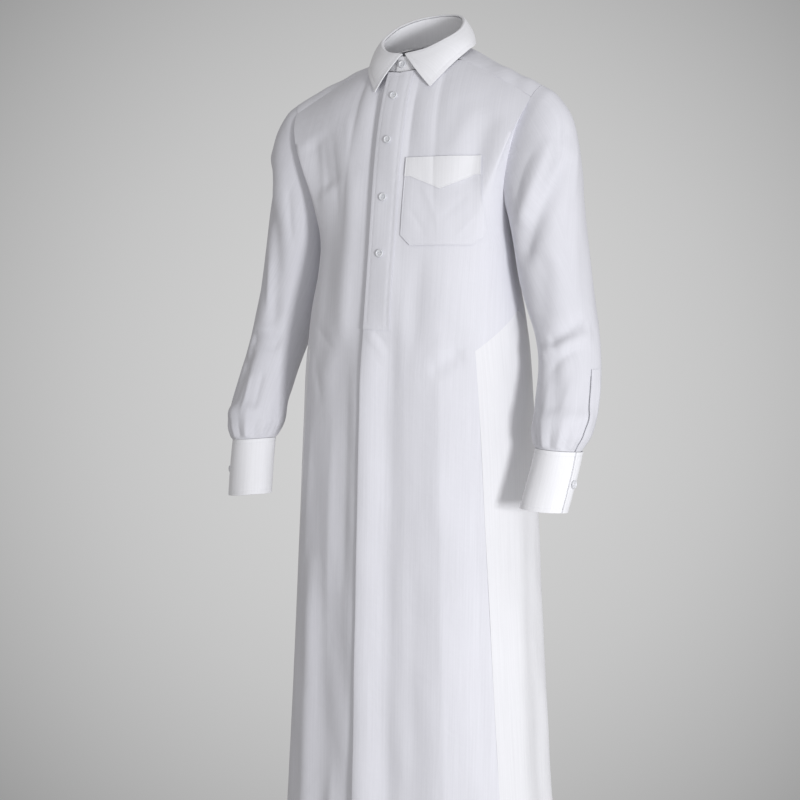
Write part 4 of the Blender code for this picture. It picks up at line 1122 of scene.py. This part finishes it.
def band_outline(across, down):
    """x and z of the facing, whose lower edge dips to a point in the middle."""
    a, d = np.meshgrid(across, down)
    width = POCKET_X[1] - POCKET_X[0]
    depth = BAND_DEPTH + (BAND_POINT - BAND_DEPTH) * np.clip(1 - np.abs(a - 0.5) / 0.42, 0.0, 1.0)
    return POCKET_X[0] + 0.0006 + a * (width - 0.0012), POCKET_Z[0] - 0.0006 - d * depth


panel = front_mid[20:UPPER_ROWS + 12, slit_last + 10:]
POCKET_ACROSS = np.linspace(0.0, 1.0, 75)
pocket_x, pocket_z = pocket_outline(POCKET_ACROSS, np.linspace(0.0, 1.0, 86))
pocket_flat = read_panel(panel, pocket_x, pocket_z)
pocket_normal = outward(pocket_flat)
relief = creases(pocket_x, pocket_z, POCKET_CREASES) + sunk_seam(pocket_flat, POCKET_STITCH, 0.0003, 0.0011)
pocket_mid = pocket_flat + (POCKET_LIFT + relief)[..., None] * pocket_normal
pocket = sew("cloth_pocket", pocket_mid, body_cloth, BAND_WALL, normal=pocket_normal)
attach(pocket, "root")
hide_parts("pocket")

band_flat = read_panel(panel, *band_outline(POCKET_ACROSS, np.linspace(0.0, 1.0, 26)))
band_normal = outward(band_flat)
band_relief = sunk_seam(band_flat, POCKET_STITCH, 0.00025, 0.0011)
band_mid = band_flat + (BAND_LIFT + band_relief)[..., None] * band_normal
band = sew("cloth_pocket_band", band_mid, stiff_cloth, BAND_WALL, normal=band_normal)
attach(band, "root")
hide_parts("pocket_band")

# BUTTONS
# Pearly four-hole shirt buttons, turned with a rim. Each is sewn on with two bars of thread and a
# short thread neck, and stays fastened.

BUTTON_R = 0.0058
BUTTON_H = 0.0026
BUTTON_Z = (-0.073, -0.137, -0.220, -0.302)
HOLE_R = 0.00085
HOLE_PLACE = 0.0013

# Button profile: share of the radius, share of the height, from the back over the rim to the middle.
BUTTON_PROFILE = np.array([
    (0.00, 0.00),
    (0.80, 0.00),
    (0.95, 0.12),
    (1.00, 0.42),
    (0.98, 0.78),
    (0.90, 1.00),
    (0.78, 0.98),
    (0.68, 0.76),
    (0.58, 0.70),
    (0.00, 0.66),
])


def pearl():
    """Polyester pearl: white with faint cool and warm clouds under a clear gloss."""
    material, nodes, links, shader, place = new_material("button_pearl")
    cloud = add_node(nodes, links, "TexNoise", [("Vector", place)], Scale=320.0, Detail=2.0, Distortion=1.5)
    ramp = add_ramp(nodes, links, cloud.outputs["Fac"], (0.66, 0.68, 0.72), (0.82, 0.82, 0.83), 0.35, 0.65)
    links.new(ramp.outputs["Color"], shader.inputs["Base Color"])
    set_inputs(shader, Roughness=0.28, Coat_Weight=0.4, Coat_Roughness=0.12)
    return material


def button_points(centre, way):
    """Turned profile on a grid of rings and spokes, sunk at four holes, standing on the cloth at centre."""
    around = 64
    along = np.linspace(0.0, len(BUTTON_PROFILE) - 1.0, 64)
    profile = curve(np.arange(float(len(BUTTON_PROFILE))), BUTTON_PROFILE, along)
    turn = np.linspace(0.0, 2 * np.pi, around, endpoint=False)
    radius = np.maximum(profile[:, 0], 0.004)[:, None] * BUTTON_R
    a = radius * np.cos(turn)
    b = radius * np.sin(turn)
    height = np.repeat(profile[:, 1:], around, axis=1) * BUTTON_H
    for hole_a in (-HOLE_PLACE, HOLE_PLACE):
        for hole_b in (-HOLE_PLACE, HOLE_PLACE):
            sunk = 0.0012 * ease((HOLE_R - np.hypot(a - hole_a, b - hole_b)) / 0.0003)
            height = np.where(along[:, None] > 6.0, height - sunk, height)
    way = unit(way)
    across = unit(np.cross((0.0, 0.0, 1.0), way))
    up = np.cross(way, across)
    return centre + a[..., None] * across + b[..., None] * up + height[..., None] * way, across, up


def add_rings(name, grids, material):
    """One object of closed tubes: each grid's rows are rings, and the first and the last are capped."""
    points = []
    faces = []
    start = 0
    for grid in grids:
        rows, columns = grid.shape[:2]
        index = start + np.arange(rows * columns).reshape(rows, columns)
        following = np.roll(index, -1, axis=1)
        quads = np.stack([index[:-1], following[:-1], following[1:], index[1:]], axis=-1).reshape(-1, 4)
        faces.extend(quads.tolist())
        faces.append(index[0][::-1].tolist())
        faces.append(index[-1].tolist())
        points.append(grid.reshape(-1, 3))
        start += rows * columns
    mesh = bpy.data.meshes.new(name)
    mesh.from_pydata(np.concatenate(points).tolist(), [], faces)
    mesh.shade_smooth()
    mesh.set_sharp_from_angle(angle=np.radians(75.0))
    mesh.materials.append(material)
    return add_object(name, mesh)


def sewing_thread(name, colour):
    """Mercerised cotton: a fine twist along the strand, and a soft gloss."""
    material, nodes, links, shader, place = new_material(name)
    twist = add_node(nodes, links, "TexNoise", [("Vector", place)], Scale=4500.0, Detail=1.0)
    ramp = add_ramp(nodes, links, twist.outputs["Fac"], [0.86 * c for c in colour], colour)
    links.new(ramp.outputs["Color"], shader.inputs["Base Color"])
    set_inputs(shader, Roughness=0.55)
    return material


def strand(start, end, lift, way, radius=0.00022):
    """A short thread from start to end that arches by lift, as 9 rings of 8 points."""
    t = np.linspace(0.0, 1.0, 9)[:, None]
    line = start + (end - start) * t + lift * np.sin(np.pi * t) * way
    across = unit(np.cross(unit(end - start), way))
    turn = np.linspace(0.0, 2 * np.pi, 8, endpoint=False)[:, None]
    thin = radius * np.maximum(np.sin(np.pi * np.linspace(0.04, 0.96, 9)) ** 0.4, 0.3)[:, None, None]
    return line[:, None] + thin * (np.cos(turn) * across + np.sin(turn) * way)


pearl_white = pearl()
thread_white = sewing_thread("thread_white", (0.84, 0.85, 0.88))
placket_way = outward(placket_shape)
placket_face = placket_shape + 0.5 * BAND_WALL * placket_way
buttons = {}
for k, z in enumerate(BUTTON_Z):
    row = int(np.argmin(np.abs(placket_face[:, PLACKET_MIDDLE, 2] - z)))
    column = int(np.argmin(np.abs(placket_face[row, :, 0] + 0.001)))
    way = placket_way[row, column]
    buttons[f"button_{k + 1}"] = (placket_face[row, column] + 0.0003 * way, way)
stand_row = stand_mid.shape[0] // 2
stand_column = int(np.argmin(np.abs(STAND_ANGLES[::-1] + 360.0)))
way = stand_normal[stand_row, stand_column]
buttons["button_collar"] = (stand_mid[stand_row, stand_column] + 0.0011 * way, way)
cuff_row = cuff_mid.shape[0] // 2
cuff_column = int(np.argmin(np.abs(CUFF_PSI - 5.0)))
way = cuff_normal[cuff_row, cuff_column]
centre = cuff_mid[cuff_row, cuff_column] + 0.0012 * way
buttons["button_cuff_left"] = (centre, way)
buttons["button_cuff_right"] = (centre * (-1.0, 1.0, 1.0), way * (-1.0, 1.0, 1.0))
button_threads = []
for name, (centre, way) in buttons.items():
    points, across, up = button_points(centre, way)
    piece = add_rings(f"pearl_{name}", [points], pearl_white)
    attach(piece, "root")
    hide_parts(name)
    face = centre + 0.62 * BUTTON_H * way
    for sign in (-1.0, 1.0):
        start = face + HOLE_PLACE * (sign * across - up)
        end = face + HOLE_PLACE * (sign * across + up)
        for shift in (-0.00022, 0.00022):
            button_threads.append(strand(start + shift * across, end + shift * across, 0.0003, way))
    rise = np.linspace(0.0, 1.0, 5)[:, None, None]
    turn = np.linspace(0.0, 2 * np.pi, 12, endpoint=False)[:, None]
    ring = 0.0011 * (np.cos(turn) * across + np.sin(turn) * up)
    button_threads.append(centre - 0.0006 * way + ring[None] + rise * 0.0011 * way)
threads = add_rings("thread_buttons", button_threads, thread_white)
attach(threads, "root")

# STITCHING
# White lockstitch, 3 mm long, along the edges of the collar, stand, cuffs, plackets and pocket, on the
# yoke seams and round the hem.

STITCH_PITCH = 0.0030
STITCH_LENGTH = 0.0023
THREAD_R = 0.00017
YOKE_STITCH = 0.0025
YOKE_TRIM = 0.004


def inset_line(mid, normal, side, distance, trim=None):
    """Points and normals of a line at a distance inside one edge of a grid, with trim cut off each end."""
    if side == "bottom":
        mid, normal = mid[::-1], normal[::-1]
    elif side == "start":
        mid, normal = np.swapaxes(mid, 0, 1), np.swapaxes(normal, 0, 1)
    elif side == "end":
        mid, normal = np.swapaxes(mid, 0, 1)[::-1], np.swapaxes(normal, 0, 1)[::-1]
    steps = np.linalg.norm(np.diff(mid, axis=0), axis=-1)
    reach = np.concatenate([np.zeros((1, mid.shape[1])), np.cumsum(steps, axis=0)])
    low = np.clip((reach <= distance).sum(axis=0) - 1, 0, len(mid) - 2)
    k = np.arange(mid.shape[1])
    part = ((distance - reach[low, k]) / (reach[low + 1, k] - reach[low, k]))[:, None]
    points = mid[low, k] * (1 - part) + mid[low + 1, k] * part
    ways = unit(normal[low, k] * (1 - part) + normal[low + 1, k] * part)
    trim = distance if trim is None else trim
    length = np.concatenate([[0.0], np.cumsum(np.linalg.norm(np.diff(points, axis=0), axis=-1))])
    at = np.arange(trim + 0.5 * STITCH_PITCH, length[-1] - trim, STITCH_PITCH)
    spread = np.stack([np.interp(at, length, points[:, i]) for i in range(3)], axis=-1)
    turned = np.stack([np.interp(at, length, ways[:, i]) for i in range(3)], axis=-1)
    return spread, unit(turned)


def stitch_row(points, ways, lift):
    """One small arched strand for each point of a line: 4 rings of 6 points, thin at both ends."""
    along = unit(np.gradient(points, axis=0))
    across = unit(np.cross(along, ways))
    t = np.linspace(-1.0, 1.0, 4)
    thin = THREAD_R * np.sqrt(1 - 0.85 * t * t)
    rise = lift + 0.6 * THREAD_R * (1 - t * t) - 0.3 * THREAD_R
    turn = np.linspace(0.0, 2 * np.pi, 6, endpoint=False)
    forward = 0.5 * STITCH_LENGTH * t[:, None] * along[:, None]
    centre = points[:, None] + forward + rise[:, None] * ways[:, None]
    ring_a = (thin[:, None] * np.cos(turn))[..., None]
    ring_b = (thin[:, None] * np.sin(turn))[..., None]
    return centre[:, :, None] + ring_a * across[:, None, None] + ring_b * ways[:, None, None]


def add_stitches(name, lines):
    """All strands of a piece as one object: each line is points, normals and the height of the face."""
    strands = np.concatenate([stitch_row(points, ways, lift) for points, ways, lift in lines])
    count, rings, spokes = strands.shape[:3]
    index = np.arange(rings * spokes).reshape(rings, spokes)
    following = np.roll(index, -1, axis=1)
    sides = np.stack([index[:-1], following[:-1], following[1:], index[1:]], axis=-1).reshape(-1, 4)
    halves = np.array([(0, 1, 2, 3), (3, 4, 5, 0)])
    quads = np.concatenate([sides, index[0][::-1][halves], index[-1][halves]])
    faces = (quads[None] + (np.arange(count) * rings * spokes)[:, None, None]).reshape(-1, 4)
    mesh = quad_mesh(name, strands.reshape(-1, 3), faces)
    mesh.shade_smooth()
    mesh.materials.append(thread_white)
    obj = add_object(name, mesh)
    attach(obj, "root")


stiff_face = 0.5 * STIFF_WALL
band_face = 0.5 * BAND_WALL
body_face = 0.5 * CLOTH_WALL
fall_lines = [(*inset_line(fall_shape, fall_normal, side, STITCH_INSET), stiff_face)
              for side in ("bottom", "start", "end")]
add_stitches("thread_collar", fall_lines)
stand_lines = [(*inset_line(stand_shape, stand_normal, side, STAND_STITCH), stiff_face)
               for side in ("top", "bottom")]
add_stitches("thread_collar_stand", stand_lines)
for side_name in ("left", "right"):
    shape = cuff_shape if side_name == "left" else mirrored(cuff_shape)
    ways = outward(shape)
    cuff_lines = [(*inset_line(shape, ways, side, STITCH_INSET), stiff_face)
                  for side in ("top", "bottom", "start", "end")]
    add_stitches(f"thread_cuff_{side_name}", cuff_lines)
    strip = strip_mids[side_name]
    strip_lines = [(*inset_line(strip, outward(strip), side, 0.002), 0.5 * STRIP_WALL)
                   for side in ("top", "start", "end")]
    add_stitches(f"thread_sleeve_strip_{side_name}", strip_lines)
placket_lines = [(*inset_line(placket_shape, placket_way, side, PLACKET_STITCH, 0.003), band_face)
                 for side in ("start", "end")]
box_row = int(np.argmin(np.abs(placket_shape[:, PLACKET_MIDDLE, 2] - BOX_STITCH_Z)))
box_part = slice(box_row, None)
box_stitches = inset_line(placket_shape[box_part], placket_way[box_part], "top", 0.0001, PLACKET_STITCH)
end_line = inset_line(placket_shape, placket_way, "bottom", 0.002, PLACKET_STITCH)
placket_lines += [(*box_stitches, band_face), (*end_line, band_face)]
add_stitches("thread_placket", placket_lines)
pocket_lines = [(*inset_line(pocket_mid, pocket_normal, side, POCKET_STITCH), band_face)
                for side in ("start", "end", "bottom")]
add_stitches("thread_pocket", pocket_lines)
add_stitches("thread_pocket_band", [(*inset_line(band_mid, band_normal, "bottom", POCKET_STITCH), band_face)])
yoke_way = outward(yoke_shape)
yoke_lines = [(*inset_line(yoke_shape, yoke_way, side, YOKE_STITCH, YOKE_TRIM), body_face)
              for side in ("start", "end")]
nape = slice(YOKE_CORNER, yoke_shape.shape[1] - YOKE_CORNER)
nape_line = inset_line(yoke_shape[:, nape], yoke_way[:, nape], "bottom", YOKE_STITCH, YOKE_TRIM)
yoke_lines.append((*nape_line, body_face))
add_stitches("thread_yoke", yoke_lines)
hem_parts = [back_shape, gore_mid, mirrored(gore_mid), front_shape[:, :slit_first + 1],
             front_shape[:, slit_last:]]
hem_lines = [(*inset_line(part, outward(part), "bottom", HEM_TURN - 0.002, 0.001), body_face + HEM_RISE)
             for part in hem_parts]
add_stitches("thread_hem", hem_lines)

# FLOOR, LIGHT AND CAMERA
# A pale studio: one soft light low on the wearer's left, a grey surround that is brighter on that
# side, and a plain floor below the hem.

FLOOR_Z = -1.53
FLOOR_R = 1.5
CAMERA = (1.3, -2.2517, -0.42)
VIEW_TURN = np.radians(30.0)
LIGHT_TARGET = (0.0, 0.0, -0.45)
BRIGHT_WAY = (0.4, -0.3, 0.05)


def studio_floor():
    material, nodes, links, shader, place = new_material("floor_pale")
    noise = add_node(nodes, links, "TexNoise", [("Vector", place)], Scale=3.0)
    ramp = add_ramp(nodes, links, noise.outputs["Fac"], (0.56, 0.56, 0.56), (0.60, 0.60, 0.60))
    links.new(ramp.outputs["Color"], shader.inputs["Base Color"])
    set_inputs(shader, Roughness=0.9)
    turn = np.linspace(0.0, 2 * np.pi, 96, endpoint=False)
    rim = np.stack([FLOOR_R * np.cos(turn), FLOOR_R * np.sin(turn), 0 * turn + FLOOR_Z], axis=-1)
    mesh = bpy.data.meshes.new("studio_floor")
    mesh.from_pydata(rim.tolist(), [], [list(range(96))])
    mesh.materials.append(material)
    return add_object("studio_floor", mesh)


studio_floor()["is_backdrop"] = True


def soft_light(name, azimuth, elevation, distance, size, energy, colour):
    """Square light at a direction from LIGHT_TARGET, turned towards it."""
    a = np.radians(azimuth)
    e = np.radians(elevation)
    way = np.array([np.sin(a) * np.cos(e), -np.cos(a) * np.cos(e), np.sin(e)])
    data = bpy.data.lights.new(name, "AREA")
    data.size = size
    data.energy = energy
    data.color = colour
    obj = add_object(name, data)
    obj.location = np.array(LIGHT_TARGET) + distance * way
    obj.rotation_euler = (np.radians(90.0) - e, 0.0, a)


soft_light("key", 56.0, -4.0, 3.0, 0.45, 48.0, (0.965, 0.97, 1.0))


def surround():
    """Grey world: light that grows towards the wearer's left, and a darker edge where the camera sees it."""
    world = bpy.data.worlds.new("surround")
    bpy.context.scene.world = world
    world.use_nodes = True
    nodes = world.node_tree.nodes
    links = world.node_tree.links
    nodes.clear()
    place = nodes.new("ShaderNodeTexCoord").outputs["Generated"]
    side = add_node(nodes, links, "VectorMath", [(0, place)])
    side.operation = "DOT_PRODUCT"
    side.inputs[1].default_value = BRIGHT_WAY
    half = add_node(nodes, links, "Math", [(0, side.outputs["Value"])])
    half.inputs[1].default_value = 0.5
    soft = add_ramp(nodes, links, half.outputs["Value"], (0.245, 0.235, 0.222), (0.60, 0.600, 0.615))
    even = add_node(nodes, links, "Background", [("Color", soft.outputs["Color"])], Strength=1.0)
    dot = add_node(nodes, links, "VectorMath", [(0, place)])
    dot.operation = "DOT_PRODUCT"
    dot.inputs[1].default_value = (-np.sin(VIEW_TURN), np.cos(VIEW_TURN), -0.03)
    ramp = add_ramp(nodes, links, dot.outputs["Value"], (0.38,) * 3, (0.64,) * 3, 0.80, 1.0)
    for position, level in ((0.945, 0.30), (0.985, 0.56)):
        element = ramp.color_ramp.elements.new(position)
        element.color = (level, level, level, 1.0)
    shown = add_node(nodes, links, "Background", [("Color", ramp.outputs["Color"])])
    camera_ray = nodes.new("ShaderNodeLightPath").outputs["Is Camera Ray"]
    shaders = [("Fac", camera_ray), (1, even.outputs["Background"]), (2, shown.outputs["Background"])]
    mix = add_node(nodes, links, "MixShader", shaders)
    add_node(nodes, links, "OutputWorld", [("Surface", mix.outputs["Shader"])])


surround()
bpy.context.scene.view_settings.view_transform = "Standard"

camera_data = bpy.data.cameras.new("camera")
camera_data.lens = 79.56
camera_data.sensor_width = 36.0
camera_data.shift_x = -17.0 / 800.0
camera_data.shift_y = -63.0 / 800.0
camera = add_object("camera", camera_data)
camera.location = CAMERA
camera.rotation_euler = (np.radians(90.0), 0.0, VIEW_TURN)
bpy.context.scene.camera = camera

low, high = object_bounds()
